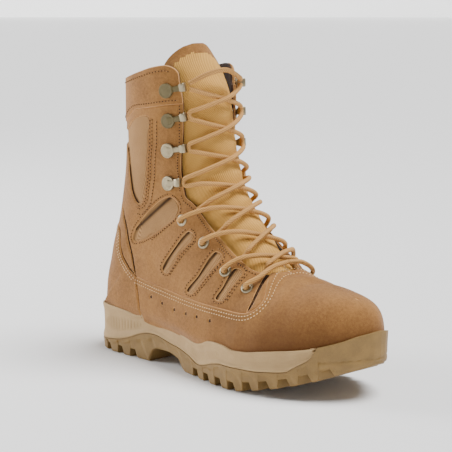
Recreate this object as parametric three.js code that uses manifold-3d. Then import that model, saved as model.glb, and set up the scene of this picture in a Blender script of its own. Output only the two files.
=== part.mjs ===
// Tactical boot for the right foot: separate closed solids, millimetres, +Z up, +X to the toe, +Y to the inner side.
import * as THREE from "three";
import { mergeVertices } from "three/addons/utils/BufferGeometryUtils.js";
import Module from "manifold-3d";

const wasm = await Module();
wasm.setup();

// Driving sizes
const LENGTH = 308; // outsole, heel to toe
const BALL_WIDTH = 106; // outsole across the ball
const BOOT_HEIGHT = 266; // height that the upper's section table is drawn to
const SOLE_HEIGHT = 40; // height that the sole's side lines are drawn to
const SHAFT_WIDTH = 82; // shaft, outer side to inner side
const FEATHER = 3.2; // rim of the sole outside the upper
const PANEL = 1.2; // leather panels laid over the upper
const THIN_PANEL = 0.8; // quarters, a little lower than the vamp and the cuff
const WALL = 2.4; // the upper's own wall
const GAP = 0.3; // between pieces that touch
const SEAM = 0.5; // between panels that meet edge to edge
const RIM_HOLLOW = 0.9; // hollow of the rim's side between its beads
const INSOLE_THICK = 4.5;
const TREAD_DEPTH = 7;
const SLOT_WIDE = 7; // tread slot at the rim
const SLOT_NARROW = 3.4; // tread slot at its inner end
const TONGUE_THICK = 5;
const LACE = 4.2; // lace diameter
const RING_BORE = 5.4;
const RING_WIDTH = 2.5; // from the bore to the rim
const RING_THICK = 1.3;
const HOOK_WIDTH = 7;
const HOOK_STOCK = 1.2;
const BUTTON_DIAMETER = 12.4;
const BUTTON_THICK = 2.4;

// Sole outline: share of LENGTH, centre line and half width as shares of BALL_WIDTH
const OUTLINE = [
  [0, 0, 0], [0.004, 0, 0.104], [0.016, 0, 0.203], [0.036, 0, 0.276],
  [0.065, 0, 0.326], [0.107, 0, 0.357], [0.169, -0.003, 0.363], [0.247, -0.009, 0.353],
  [0.325, -0.023, 0.336], [0.403, -0.035, 0.343], [0.481, -0.041, 0.383],
  [0.552, -0.038, 0.436], [0.617, -0.026, 0.477], [0.675, -0.011, 0.5],
  [0.734, 0.008, 0.5], [0.789, 0.027, 0.477], [0.838, 0.046, 0.44], [0.88, 0.062, 0.39],
  [0.916, 0.075, 0.33], [0.945, 0.085, 0.264], [0.969, 0.092, 0.189],
  [0.987, 0.096, 0.113], [0.997, 0.099, 0.055], [1, 0.099, 0],
];
// Side lines: share of LENGTH, share of SOLE_HEIGHT
const RIM_LINE = [
  [0, 1.01], [0.075, 1.06], [0.143, 1.04], [0.192, 1.01], [0.221, 0.975], [0.237, 0.99],
  [0.26, 1.06], [0.279, 1.05], [0.354, 0.91], [0.412, 0.84], [0.461, 0.775], [0.5, 0.74],
  [0.532, 0.79], [0.565, 0.89], [0.594, 0.91], [0.63, 0.89], [0.67, 0.84], [0.705, 0.85],
  [0.747, 0.9], [0.8, 0.96], [0.847, 1.01], [0.877, 1.05], [0.912, 1.125], [0.948, 1.225],
  [0.974, 1.325], [1, 1.4],
];
const SEAT_LINE = [
  [0, 0.8], [0.195, 0.78], [0.357, 0.675], [0.5, 0.56], [0.67, 0.6], [0.8, 0.725],
  [0.912, 0.925], [1, 1.15],
];
const PARTING_LINE = [
  [0, 0.22], [0.036, 0.225], [0.094, 0.275], [0.143, 0.325], [0.185, 0.41], [0.224, 0.52],
  [0.253, 0.59], [0.276, 0.62], [0.302, 0.62], [0.328, 0.59], [0.367, 0.53], [0.412, 0.48],
  [0.464, 0.4], [0.513, 0.3], [0.549, 0.35], [0.588, 0.44], [0.617, 0.48], [0.659, 0.485],
  [0.73, 0.49], [0.776, 0.515], [0.828, 0.5625], [0.841, 0.625], [0.86, 0.725],
  [0.883, 0.85], [0.893, 0.98], [0.9, 1.12], [0.93, 1.6], [1, 2],
];
const GROUND_LINE = [
  [0, 0.14], [0.016, 0.05], [0.036, 0], [0.27, 0], [0.285, 0.24], [0.3, 0.31], [0.35, 0.32],
  [0.4, 0.24], [0.42, 0.06], [0.436, 0], [0.665, 0], [0.705, 0.05], [0.75, 0.12], [0.8, 0.205],
  [0.857, 0.33], [0.903, 0.45], [0.942, 0.59], [0.981, 0.7], [1, 0.81],
];
// Upper sections: front x and z, end x, lift of the end up the heel, full width, place of the
// widest point, ridge off the middle, roundness before and after the widest point
const SECTIONS = [
  [0.987, 0.214, 0.987, 0, 0, 0.78, 0.092, 2.5, 2.2],
  [0.984, 0.238, 0.983, 0, 0, 0.78, 0.09, 2.5, 2.2],
  [0.974, 0.26, 0.972, 0, 0, 0.78, 0.085, 2.45, 2.2],
  [0.957, 0.279, 0.954, 0, 0, 0.78, 0.078, 2.4, 2.2],
  [0.933, 0.293, 0.929, 0, 0, 0.78, 0.07, 2.35, 2.2],
  [0.901, 0.304, 0.897, 0, 0, 0.77, 0.06, 2.3, 2.2],
  [0.862, 0.312, 0.858, 0, 0, 0.76, 0.051, 2.25, 2.2],
  [0.805, 0.32, 0.799, 0, 0, 0.75, 0.042, 2.2, 2.2],
  [0.737, 0.333, 0.721, 0, 0, 0.74, 0.034, 2.15, 2.2],
  [0.678, 0.358, 0.636, 0, 1.18, 0.73, 0.03, 2.2, 2.2],
  [0.639, 0.39, 0.571, 0, 1.165, 0.72, 0.028, 2.3, 2.3],
  [0.598, 0.431, 0.474, 0, 1.115, 0.7, 0.026, 2.45, 2.5],
  [0.556, 0.482, 0.351, 0, 1.04, 0.66, 0.024, 2.6, 3],
  [0.52, 0.533, 0.214, 0, 1, 0.62, 0.022, 2.75, 3.6],
  [0.496, 0.579, 0.097, 0, 0.95, 0.58, 0.02, 2.85, 4.2],
  [0.484, 0.605, 0.045, 0, 0.93, 0.56, 0.019, 2.9, 4.4],
  [0.478, 0.622, 0.02, 0, 0.92, 0.55, 0.019, 2.9, 4.4],
  [0.474, 0.636, 0.013, 0, 0.91, 0.54, 0.019, 2.9, 4.4],
  [0.466, 0.67, 0, 0.095, 0.9, 0.52, 0.019, 2.8, 4],
  [0.457, 0.716, 0, 0.2, 0.9, 0.51, 0.019, 2.6, 3.2],
  [0.45, 0.776, 0, 0.335, 0.915, 0.5, 0.019, 2.4, 2.6],
  [0.446, 0.843, 0, 0.485, 0.945, 0.5, 0.019, 2.25, 2.3],
  [0.444, 0.915, 0, 0.625, 0.975, 0.5, 0.019, 2.15, 2.2],
  [0.442, 1, 0, 0.765, 1, 0.5, 0.019, 2.1, 2.1],
  [0.44, 1.09, 0, 0.885, 1.02, 0.5, 0.019, 2.1, 2.1],
];
const HEEL_ROW = 17; // the row whose end reaches the back of the heel
const FOOT_ROW = 8; // the last row drawn from the sole's width alone
const PINCH = 16; // height over the sole where the upper draws in to the sole's rim
// Heel and back of the shaft: lift as a share of BOOT_HEIGHT, x as a share of LENGTH
const BACK_LINE = [
  [0, 0.013], [0.05, 0.0135], [0.1, 0.019], [0.2, 0.039], [0.335, 0.071], [0.485, 0.094],
  [0.625, 0.103], [0.765, 0.106], [0.885, 0.107],
];
// Throat: section row, opening on the outer and the inner side as shares of the way round
const THROAT = [
  [8.7, 0.06, 0.06], [9, 0.11, 0.11], [9.8, 0.165, 0.165], [10.8, 0.185, 0.185],
  [12.2, 0.215, 0.215], [14.1, 0.25, 0.255], [16, 0.28, 0.285], [18.7, 0.305, 0.295],
  [19.4, 0.3, 0.285], [20.4, 0.28, 0.255], [21.6, 0.27, 0.23], [22.4, 0.285, 0.24],
  [24, 0.3, 0.27],
];
// Tongue: section row, half span, height of the pad over the upper's form at its middle and edges,
// lean back into the shaft
const TONGUE = [
  [8.2, 0.1, -5.4, -5.4, 0], [9.2, 0.19, -4, -6, 0], [10.5, 0.26, -2, -6.2, 0],
  [12, 0.3, -0.8, -6, 0], [14, 0.33, -0.5, -5.6, 0], [17, 0.38, -0.3, -5.1, 0],
  [19, 0.4, -0.2, -5.1, 0], [20.5, 0.4, -0.8, -5.2, 0], [21.6, 0.4, -3, -6, 1],
  [22.3, 0.42, -6, -7.5, 5], [22.8, 0.43, -8, -8.5, 11], [23.1, 0.41, -9, -9.5, 15],
  [23.4, 0.33, -10, -10.5, 18],
];
// Panel edges in the side view: share of LENGTH, share of BOOT_HEIGHT
const BAND_EDGE = [
  [0.22, 0.275], [0.33, 0.261], [0.44, 0.249], [0.57, 0.242], [0.7, 0.245], [0.724, 0.278],
  [0.705, 0.316], [0.68, 0.35], [0.672, 0.38],
];
const COUNTER_EDGE = [
  [-0.1, 0.46], [0.05, 0.45], [0.133, 0.415], [0.153, 0.34], [0.175, 0.31], [0.22, 0.275],
];
const COUNTER_SEAM = [[0.22, 0.275], [0.24, 0.207], [0.247, 0.165], [0.25, -0.05]];
const CUFF_EDGE = [
  [-0.1, 0.75], [0.1, 0.762], [0.165, 0.786], [0.22, 0.82], [0.28, 0.831], [0.376, 0.846],
  [0.6, 0.86],
];
const COLLAR_EDGE = [
  [-0.1, 0.9], [0.1, 0.915], [0.175, 0.925], [0.247, 0.944], [0.308, 0.962], [0.35, 0.967],
  [0.372, 0.957], [0.385, 0.935], [0.392, 0.905], [0.7, 0.9],
];
// Openings of the quarter that show the upper under it
const VENTS = [
  [[0.352, 0.55], [0.212, 0.43], [0.204, 0.393], [0.27, 0.414], [0.385, 0.51]],
  [[0.43, 0.45], [0.383, 0.391], [0.34, 0.32], [0.362, 0.31], [0.407, 0.381], [0.452, 0.437]],
  [[0.533, 0.4], [0.491, 0.32], [0.455, 0.27], [0.478, 0.266], [0.513, 0.314], [0.556, 0.387]],
  [[0.603, 0.358], [0.588, 0.3], [0.574, 0.266], [0.6, 0.266], [0.611, 0.297], [0.626, 0.348]],
];
const WINDOW = [
  [0.09, 0.72], [0.16, 0.69], [0.186, 0.6], [0.2, 0.55], [0.222, 0.518], [0.236, 0.518],
  [0.25, 0.535], [0.258, 0.572], [0.277, 0.722], [0.284, 0.8], [0.22, 0.79], [0.165, 0.755],
  [0.09, 0.735],
];
// Lacing stations from the toe up. Eyelets: section row, share of the way round, seat height.
// Hooks: section row and share of the way round at the button, then at the open end, shift of both
// on the inner side, seat height
const RINGS = [[9.2, 0.255, 0.1], [10.8, 0.28, 0], [12.4, 0.295, 0], [14.2, 0.335, -0.5]];
const HOOKS = [
  [18.7, 0.372, 18.05, 0.295, -0.01, -0.4], [20.1, 0.37, 19.65, 0.255, -0.015, -0.3],
  [21.15, 0.361, 20.95, 0.246, -0.035, -0.5], [22.2, 0.361, 22.1, 0.244, -0.045, 0.42],
];
// Tread slots: share of LENGTH at the rim
const SLOTS = [0.085, 0.145, 0.203, 0.492, 0.549, 0.605, 0.66, 0.714, 0.767, 0.82, 0.87, 0.915];
const SLOT_SLANT = 0.02; // share of LENGTH that a slot runs forward from rim to middle
const SPINE = 0.075; // half width of the middle spine, share of BALL_WIDTH

// Smooth curve through rows of [place, values...] that never swings past its rows
function curve(rows) {
  const at = rows.map((r) => r[0]);
  const width = rows[0].length - 1;
  const slopes = [];
  for (let k = 1; k <= width; k++) {
    const d = rows.slice(1).map((r, i) => (r[k] - rows[i][k]) / (at[i + 1] - at[i]));
    slopes.push(rows.map((r, i) => {
      if (i === 0) return d[0];
      if (i === rows.length - 1) return d[i - 1];
      return d[i - 1] * d[i] > 0 ? (2 * d[i - 1] * d[i]) / (d[i - 1] + d[i]) : 0;
    }));
  }
  return (place) => {
    const q = Math.min(Math.max(place, at[0]), at[at.length - 1]);
    let i = 0;
    while (i < at.length - 2 && q >= at[i + 1]) i++;
    const h = at[i + 1] - at[i];
    const t = (q - at[i]) / h;
    const out = [];
    for (let k = 1; k <= width; k++) {
      const m = slopes[k - 1];
      out.push(
        (2 * t ** 3 - 3 * t ** 2 + 1) * rows[i][k] + (t ** 3 - 2 * t ** 2 + t) * h * m[i] +
        (-2 * t ** 3 + 3 * t ** 2) * rows[i + 1][k] + (t ** 3 - t ** 2) * h * m[i + 1],
      );
    }
    return out;
  };
}
const numbered = (rows) => rows.map((r, i) => [i, ...r]);
const outlineAt = curve(numbered(OUTLINE));
const rimAt = curve(RIM_LINE);
const seatAt = curve(SEAT_LINE);
const partingAt = curve(PARTING_LINE);
const groundAt = curve(GROUND_LINE);
const backAt = curve(BACK_LINE);
const sectionAt = curve(numbered(SECTIONS));
const throatAt = (u, side) => curve(THROAT)(u)[side < 0 ? 0 : 1];

// Centre line and half width of the outline at a share of the length
function across(share) {
  let low = 0;
  let high = OUTLINE.length - 1;
  for (let n = 0; n < 30; n++) {
    const mid = (low + high) / 2;
    if (outlineAt(mid)[0] < share) low = mid;
    else high = mid;
  }
  const [, c, h] = outlineAt((low + high) / 2);
  return [c * BALL_WIDTH, h * BALL_WIDTH];
}
const INSET = FEATHER * 1.25;
const CORE_INSET = FEATHER * 2.2; // rubber core of the toe inside the rim
const CORE_FROM = 0.83; // share of LENGTH where the core starts
const seatHeight = (x) => seatAt(x / LENGTH)[0] * SOLE_HEIGHT;
function featherAt(x) {
  const share = Math.min(Math.max((x - INSET) / (LENGTH - 2 * INSET), 0), 1);
  const [c, h] = across(share);
  return [c, h * (1 - (2 * FEATHER) / BALL_WIDTH)];
}

// Point of the boot's outer form: u is the section row, phi the way round from the ridge (0)
// to the sole or the heel (1), positive on the inner side
function formPoint(u, phi) {
  const [fx, fz, bx, lift, full, at, ridge, fore, aft] = sectionAt(u);
  const onBack = u > HEEL_ROW;
  const endX = (onBack ? backAt(lift)[0] : bx) * LENGTH;
  const heel = seatHeight(SECTIONS[HEEL_ROW][2] * LENGTH) + GAP;
  const endZ = onBack ? heel + lift * BOOT_HEIGHT : seatHeight(endX) + GAP;
  const [endY, sole] = u >= HEEL_ROW ? [0, 0] : featherAt(endX);
  const endW = u > 0 ? sole : 0;
  const foot = endW * 1.02;
  const shaft = (full * SHAFT_WIDTH) / 2;
  const blend = (shaft + foot + Math.hypot(shaft - foot, 1)) / 2;
  const mix = Math.min(Math.max(u - FOOT_ROW, 0), 1);
  const wide = foot * (1 - mix) + blend * mix;
  const way = Math.abs(phi);
  let out;
  let down;
  if (way <= 0.5) {
    out = Math.sin(way * Math.PI) ** (2 / fore);
    down = at * (1 - Math.max(Math.cos(way * Math.PI), 0) ** (2 / fore));
  } else {
    const turn = (way - 0.5) * Math.PI;
    const share = wide > 0.01 ? endW / wide : 1;
    down = at + (1 - at) * Math.sin(turn) ** (2 / aft);
    const rise = Math.min(((fz * BOOT_HEIGHT - endZ) * (1 - down)) / PINCH, 1);
    const hold = Math.min(Math.max((endW / BALL_WIDTH - 0.15) * 10, 0), 1);
    const draw = 1 - hold * (1 - rise * rise * (3 - 2 * rise));
    out = share + (1 - share) * Math.max(Math.cos(turn), 0) * draw;
  }
  const k = down * down * (3 - 2 * down);
  return new THREE.Vector3(
    fx * LENGTH + (endX - fx * LENGTH) * down,
    ridge * BALL_WIDTH * (1 - k) + endY * k + Math.sign(phi) * wide * out,
    fz * BOOT_HEIGHT + (endZ - fz * BOOT_HEIGHT) * down,
  );
}
function formNormal(u, phi) {
  const e = 0.01;
  const a = formPoint(u + e, phi).sub(formPoint(u - e, phi));
  const b = formPoint(u, phi + e).sub(formPoint(u, phi - e));
  return b.cross(a).normalize();
}
const onForm = (u, phi, height) => formPoint(u, phi).addScaledVector(formNormal(u, phi), height);

// Closed mesh written face by face, with shared corners
class Shell {
  constructor() {
    this.points = [];
    this.faces = [];
    this.index = new Map();
  }
  corner(p) {
    const key = [p.x, p.y, p.z].map((v) => Math.round(v * 500)).join();
    if (!this.index.has(key)) {
      this.index.set(key, this.points.length);
      this.points.push(p.clone());
    }
    return this.index.get(key);
  }
  face(...corners) {
    const ids = corners.map((p) => this.corner(p));
    for (let i = 1; i < ids.length - 1; i++) {
      const [a, b, c] = [ids[0], ids[i], ids[i + 1]];
      if (a !== b && b !== c && a !== c) this.faces.push([a, b, c]);
    }
  }
  solid() {
    let volume = 0;
    for (const [a, b, c] of this.faces) {
      const q = this.points[b].clone().cross(this.points[c]);
      volume += this.points[a].dot(q);
    }
    const faces = volume < 0 ? this.faces.map(([a, b, c]) => [a, c, b]) : this.faces;
    return new wasm.Manifold(new wasm.Mesh({
      numProp: 3,
      vertProperties: new Float32Array(this.points.flatMap((p) => [p.x, p.y, p.z])),
      triVerts: new Uint32Array(faces.flat()),
    }));
  }
}
function fromGeometry(geometry) {
  const bare = geometry.clone();
  bare.deleteAttribute("normal");
  bare.deleteAttribute("uv");
  const merged = mergeVertices(bare, 1e-4);
  return new wasm.Manifold(new wasm.Mesh({
    numProp: 3,
    vertProperties: merged.attributes.position.array,
    triVerts: new Uint32Array(merged.index.array),
  }));
}
// Solid between two equal grids of points
function between(top, bottom) {
  const s = new Shell();
  const m = top.length - 1;
  const n = top[0].length - 1;
  for (let i = 0; i < m; i++) {
    for (let j = 0; j < n; j++) {
      s.face(top[i][j], top[i][j + 1], top[i + 1][j + 1], top[i + 1][j]);
      s.face(bottom[i][j], bottom[i + 1][j], bottom[i + 1][j + 1], bottom[i][j + 1]);
    }
    s.face(top[i][0], top[i + 1][0], bottom[i + 1][0], bottom[i][0]);
    s.face(top[i + 1][n], top[i][n], bottom[i][n], bottom[i + 1][n]);
  }
  for (let j = 0; j < n; j++) {
    s.face(top[0][j + 1], top[0][j], bottom[0][j], bottom[0][j + 1]);
    s.face(top[m][j], top[m][j + 1], bottom[m][j + 1], bottom[m][j]);
  }
  return s.solid();
}
const union = (parts) => parts.reduce((a, b) => a.add(b));

// Rows and columns that the form is sampled at
const FORM_U = [];
for (let u = 0; u < SECTIONS.length; u++) {
  FORM_U.push(u);
  if (u > FOOT_ROW + 1 && u < HEEL_ROW - 4) FORM_U.push(u + 0.5);
}
const ROUND = 7;
const heelIndex = FORM_U.indexOf(HEEL_ROW);

// Vertex normals of the sampled form, averaged over the faces round each corner
const formGrid = FORM_U.map((u) => {
  const row = [];
  for (let j = -ROUND; j <= ROUND; j++) row.push(formPoint(u, j / ROUND));
  return row;
});
const formSkin = new Shell();
for (let i = 0; i < FORM_U.length - 1; i++) {
  for (let j = 0; j < 2 * ROUND; j++) {
    const [a, b] = [formGrid[i], formGrid[i + 1]];
    formSkin.face(a[j], a[j + 1], b[j + 1], b[j]);
  }
}
const skinNormals = formSkin.points.map(() => new THREE.Vector3());
for (const [a, b, c] of formSkin.faces) {
  const p = formSkin.points;
  const n = p[b].clone().sub(p[a]).cross(p[c].clone().sub(p[a]));
  for (const k of [a, b, c]) skinNormals[k].add(n);
}
const facing = skinNormals[formSkin.corner(formGrid[5][ROUND])].z > 0 ? 1 : -1;

// The whole form as one filled solid, moved out by height, its base and top carried straight on
function form(height, drop, rise) {
  const grid = formGrid.map((row) => row.map((p) => {
    const n = skinNormals[formSkin.corner(p)].clone().normalize().multiplyScalar(facing);
    return p.clone().addScaledVector(n, height);
  }));
  const s = new Shell();
  const last = grid.length - 1;
  const end = 2 * ROUND;
  const low = [];
  for (let i = 0; i <= heelIndex; i++) {
    low.push([0, end].map((j) => {
      const q = grid[i][j];
      q.z = formGrid[i][j].z;
      return new THREE.Vector3(q.x, q.y, q.z - drop);
    }));
  }
  grid[last].forEach((q, j) => {
    q.z = formGrid[last][j].z;
  });
  const high = grid[last].map((q) => new THREE.Vector3(q.x, q.y, q.z + rise));
  for (let i = 0; i < last; i++) {
    for (let j = 0; j < end; j++) {
      s.face(grid[i][j], grid[i][j + 1], grid[i + 1][j + 1], grid[i + 1][j]);
    }
    if (i >= heelIndex) continue;
    s.face(grid[i + 1][0], low[i + 1][0], low[i][0], grid[i][0]);
    s.face(grid[i][end], low[i][1], low[i + 1][1], grid[i + 1][end]);
    s.face(low[i + 1][0], low[i + 1][1], low[i][1], low[i][0]);
  }
  for (let j = 0; j < end; j++) s.face(grid[last][j], grid[last][j + 1], high[j + 1], high[j]);
  for (let j = 0; j < ROUND; j++) {
    const k = end - j;
    s.face(high[j], high[j + 1], high[k - 1], high[k]);
  }
  return s.solid();
}

// Solid between two heights of the sole's side, drawn in from the outline by inset at each level
const SOLE_STEPS = [];
for (let k = 0; k < OUTLINE.length - 1; k++) {
  SOLE_STEPS.push(k);
  if (k > 5 && k < 17) SOLE_STEPS.push(k + 0.5);
}
SOLE_STEPS.push(OUTLINE.length - 1);
function soleBlock(low, high, levels, scale = 1, until = 1) {
  const s = new Shell();
  const ends = [0, OUTLINE.length - 1];
  const stations = SOLE_STEPS.filter((k) => outlineAt(k)[0] <= until).map((k) => {
    const [share, c, h] = outlineAt(k);
    const [s0, c0, h0] = outlineAt(Math.max(k - 0.05, 0));
    const [s1, c1, h1] = outlineAt(Math.min(k + 0.05, OUTLINE.length - 1));
    const bottom = low(share);
    const top = high(share);
    return [-1, 1].map((side) => {
      let nx = -side * (c1 - c0 + side * (h1 - h0)) * BALL_WIDTH;
      let ny = side * (s1 - s0) * LENGTH;
      if (k === ends[0]) [nx, ny] = [-1, 0];
      if (k === ends[1]) [nx, ny] = [1, 0];
      if (ny !== 0) nx *= side;
      const size = Math.hypot(nx, ny);
      if (ny !== 0) nx = (-(c1 - c0 + side * (h1 - h0)) * BALL_WIDTH * side);
      return levels.map(([part, inset]) => new THREE.Vector3(
        share * LENGTH - (nx / size) * inset,
        (c + side * h * scale) * BALL_WIDTH - (ny / size) * inset,
        bottom + (top - bottom) * part,
      ));
    });
  });
  const last = levels.length - 1;
  for (let i = 0; i < stations.length - 1; i++) {
    const [a, b] = [stations[i], stations[i + 1]];
    for (let v = 0; v < last; v++) {
      s.face(a[0][v], b[0][v], b[0][v + 1], a[0][v + 1]);
      s.face(a[1][v + 1], b[1][v + 1], b[1][v], a[1][v]);
    }
    s.face(a[0][last], b[0][last], b[1][last], a[1][last]);
    s.face(a[1][0], b[1][0], b[0][0], a[0][0]);
  }
  const closing = stations[stations.length - 1];
  for (let v = 0; v < last; v++) {
    s.face(closing[0][v], closing[1][v], closing[1][v + 1], closing[0][v + 1]);
  }
  return s.solid();
}
const ground = (share) => groundAt(share)[0] * SOLE_HEIGHT;
const rim = (share) => rimAt(share)[0] * SOLE_HEIGHT;
const parting = (share) => Math.min(partingAt(share)[0] * SOLE_HEIGHT, rim(share));
const seat = (share) => seatAt(share)[0] * SOLE_HEIGHT;

// Side view shape carried straight across the boot
function across3d(points, from = -BALL_WIDTH, to = BALL_WIDTH) {
  const shape = new THREE.Shape(
    points.map(([x, z]) => new THREE.Vector2(x * LENGTH, z * BOOT_HEIGHT)),
  );
  const g = new THREE.ExtrudeGeometry(shape, { depth: to - from, bevelEnabled: false });
  g.rotateX(Math.PI / 2);
  g.translate(0, to, 0);
  return fromGeometry(g);
}
// Line moved to its left by a distance, for a line drawn in the side view
function beside(points, distance) {
  const flat = points.map(([x, z]) => new THREE.Vector2(x * LENGTH, z * BOOT_HEIGHT));
  return flat.map((p, i) => {
    const before = flat[Math.max(i - 1, 0)];
    const after = flat[Math.min(i + 1, flat.length - 1)];
    const way = after.clone().sub(before).normalize();
    return [
      (p.x - way.y * distance) / LENGTH, (p.y + way.x * distance) / BOOT_HEIGHT,
    ];
  });
}

// Tread slots from the rim to the spine, each narrowing inwards
function slots() {
  const cuts = [];
  for (const share of SLOTS) {
    for (const side of [-1, 1]) {
      const [c, h] = across(share);
      const inner = c + side * SPINE * BALL_WIDTH;
      const outer = c + side * (h + 4);
      const x = share * LENGTH;
      const lean = SLOT_SLANT * LENGTH;
      const shape = new THREE.Shape([
        new THREE.Vector2(x - SLOT_WIDE / 2, outer),
        new THREE.Vector2(x + SLOT_WIDE / 2, outer),
        new THREE.Vector2(x + lean + SLOT_NARROW / 2, inner),
        new THREE.Vector2(x + lean - SLOT_NARROW / 2, inner),
      ]);
      const g = new THREE.ExtrudeGeometry(shape, { depth: 2 * SOLE_HEIGHT, bevelEnabled: false });
      g.translate(0, 0, -SOLE_HEIGHT / 2);
      cuts.push(fromGeometry(g));
    }
  }
  return union(cuts);
}
// Grooves along the foot between the rim lugs and the inner lugs
function grooves() {
  const far = (share) => ground(share) + SOLE_HEIGHT;
  const deep = () => -SOLE_HEIGHT;
  const ring = soleBlock(deep, far, [[0, 0], [1, 0]], 0.6)
    .subtract(soleBlock(deep, far, [[0, 0], [1, 0]], 0.52));
  const heel = across3d([[0.085, -1], [0.203, -1], [0.203, 1], [0.085, 1]]);
  const fore = across3d([[0.492, -1], [0.87, -1], [0.87, 1], [0.492, 1]]);
  return ring.intersect(heel.add(fore));
}

// Panels: skins cut from the form
const clearance = form(GAP, GAP, GAP);
const skin = form(0, 0, 0).subtract(form(-PANEL, SOLE_HEIGHT / 4, SOLE_HEIGHT / 4));
const thinSkin = form(THIN_PANEL - PANEL, 0, 0)
  .subtract(form(-PANEL, SOLE_HEIGHT / 4, SOLE_HEIGHT / 4));
const UNDER = PANEL + GAP;
const REACH = 3 * UNDER + WALL + TONGUE_THICK;
function throatBlock() {
  const rows = [];
  const [first, last] = [THROAT[0][0], SECTIONS.length - 1];
  for (let n = 0; n <= 16; n++) rows.push(first + ((last - first) * n) / 16);
  const grid = (height) => rows.map((u, i) => [-1, -0.5, 0, 0.5, 1].map((q) => {
    const p = onForm(Math.min(u, last - 0.02), q * throatAt(u, q), height);
    if (i === rows.length - 1) p.z += SOLE_HEIGHT / 2;
    return p;
  }));
  return between(grid(REACH), grid(-REACH));
}
const throat = throatBlock();
const aboveCollar = across3d([...COLLAR_EDGE, [0.7, 1.5], [-0.1, 1.5]]);
function punch(radius) {
  const holes = [];
  for (const [u, phi] of RINGS) {
    for (const side of [-1, 1]) {
      const g = new THREE.CylinderGeometry(radius, radius, 2 * REACH, 8);
      g.applyQuaternion(new THREE.Quaternion().setFromUnitVectors(
        new THREE.Vector3(0, 1, 0), formNormal(u, side * phi),
      ));
      const p = formPoint(u, side * phi);
      g.translate(p.x, p.y, p.z);
      holes.push(fromGeometry(g));
    }
  }
  return union(holes);
}
const ringHoles = punch(RING_BORE / 2 + GAP);

const upper = form(-UNDER, 0, 0)
  .subtract(form(-UNDER - WALL, SOLE_HEIGHT / 4, SOLE_HEIGHT / 4))
  .subtract(throat)
  .subtract(aboveCollar)
  .subtract(ringHoles);

const half = SEAM / 2;
const vamp = skin.intersect(across3d([
  [1.1, -0.05], [1.1, 0.6], [0.672, 0.6], ...beside(BAND_EDGE, -half).reverse(),
  ...beside(COUNTER_SEAM, half).slice(1),
])).subtract(throat);
const counter = skin.intersect(across3d([
  [-0.1, -0.05], ...beside(COUNTER_EDGE, -half).slice(0, -1), ...beside(COUNTER_SEAM, -half),
]));
const quarterShape = [
  ...beside(COUNTER_EDGE, half).slice(0, -1), ...beside(BAND_EDGE, half),
  [0.67, 0.45], [0.8, 0.6], ...beside(CUFF_EDGE, -half).reverse(),
];
const quarters = thinSkin.intersect(across3d(quarterShape))
  .subtract(union(VENTS.map((v) => across3d(v))))
  .subtract(across3d(WINDOW))
  .subtract(throat)
  .subtract(ringHoles);
const sideOf = (solid, side) => {
  const all = [[-1, -1], [2, -1], [2, 2], [-1, 2]];
  return side < 0
    ? solid.intersect(across3d(all, -BALL_WIDTH, -half))
    : solid.intersect(across3d(all, half, BALL_WIDTH));
};
const cuff = skin.intersect(across3d([
  ...beside(CUFF_EDGE, half), [0.6, 1.5], [-0.1, 1.5],
])).subtract(throat).subtract(aboveCollar);

// Sole
const tread = soleBlock(() => -SOLE_HEIGHT, (s) => ground(s) + TREAD_DEPTH, [[0, -4], [1, -4]]);
// Rubber that fills the sole under the toes, inside the midsole's rim
const toeCore = (grow) => soleBlock(
  (s) => ground(s) + TREAD_DEPTH + SOLE_HEIGHT / 40, (s) => seat(s) + SOLE_HEIGHT / 20,
  [[0, CORE_INSET - grow], [1, CORE_INSET - grow]],
).intersect(across3d([
  [CORE_FROM - grow / LENGTH, -1], [1.1, -1], [1.1, 1], [CORE_FROM - grow / LENGTH, 1],
]));
const outsole = soleBlock(ground, parting, [[0, 2.2], [0.18, 0.8], [0.86, 0.3], [1, 0]])
  .add(toeCore(0))
  .subtract(tread.intersect(slots().add(grooves())))
  .subtract(clearance);
const aboveParting = (s) => parting(s) + GAP * 1.5;
const RECESS = [[0, 0.2], [0.12, RIM_HOLLOW], [0.82, RIM_HOLLOW], [1, 0]];
const midsoleBody = soleBlock(aboveParting, rim, RECESS, 1, 0.8955);
function sideRibs() {
  const ribs = [];
  const RIB = 0.007;
  for (const at of [0.48, 0.51, 0.54, 0.57, 0.73, 0.76, 0.79, 0.82]) {
    ribs.push(across3d([
      [at, 0.04], [at + RIB, 0.04], [at + RIB + 0.03, 0.15], [at + 0.03, 0.15],
    ]));
  }
  return union(ribs);
}
const ribbed = soleBlock(aboveParting, rim, [[0, 0.5], [0.82, 0.5], [1, 2]], 1, 0.8955);
const midsole = midsoleBody.add(ribbed.intersect(sideRibs())).subtract(clearance)
  .subtract(toeCore(GAP));
const INSOLE_INSET = INSET + UNDER + WALL + 6 * GAP;
const insole = soleBlock(
  (s) => seat(s) + 2 * GAP, (s) => seat(s) + 2 * GAP + INSOLE_THICK,
  [[0, INSOLE_INSET], [1, INSOLE_INSET]],
);

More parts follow.
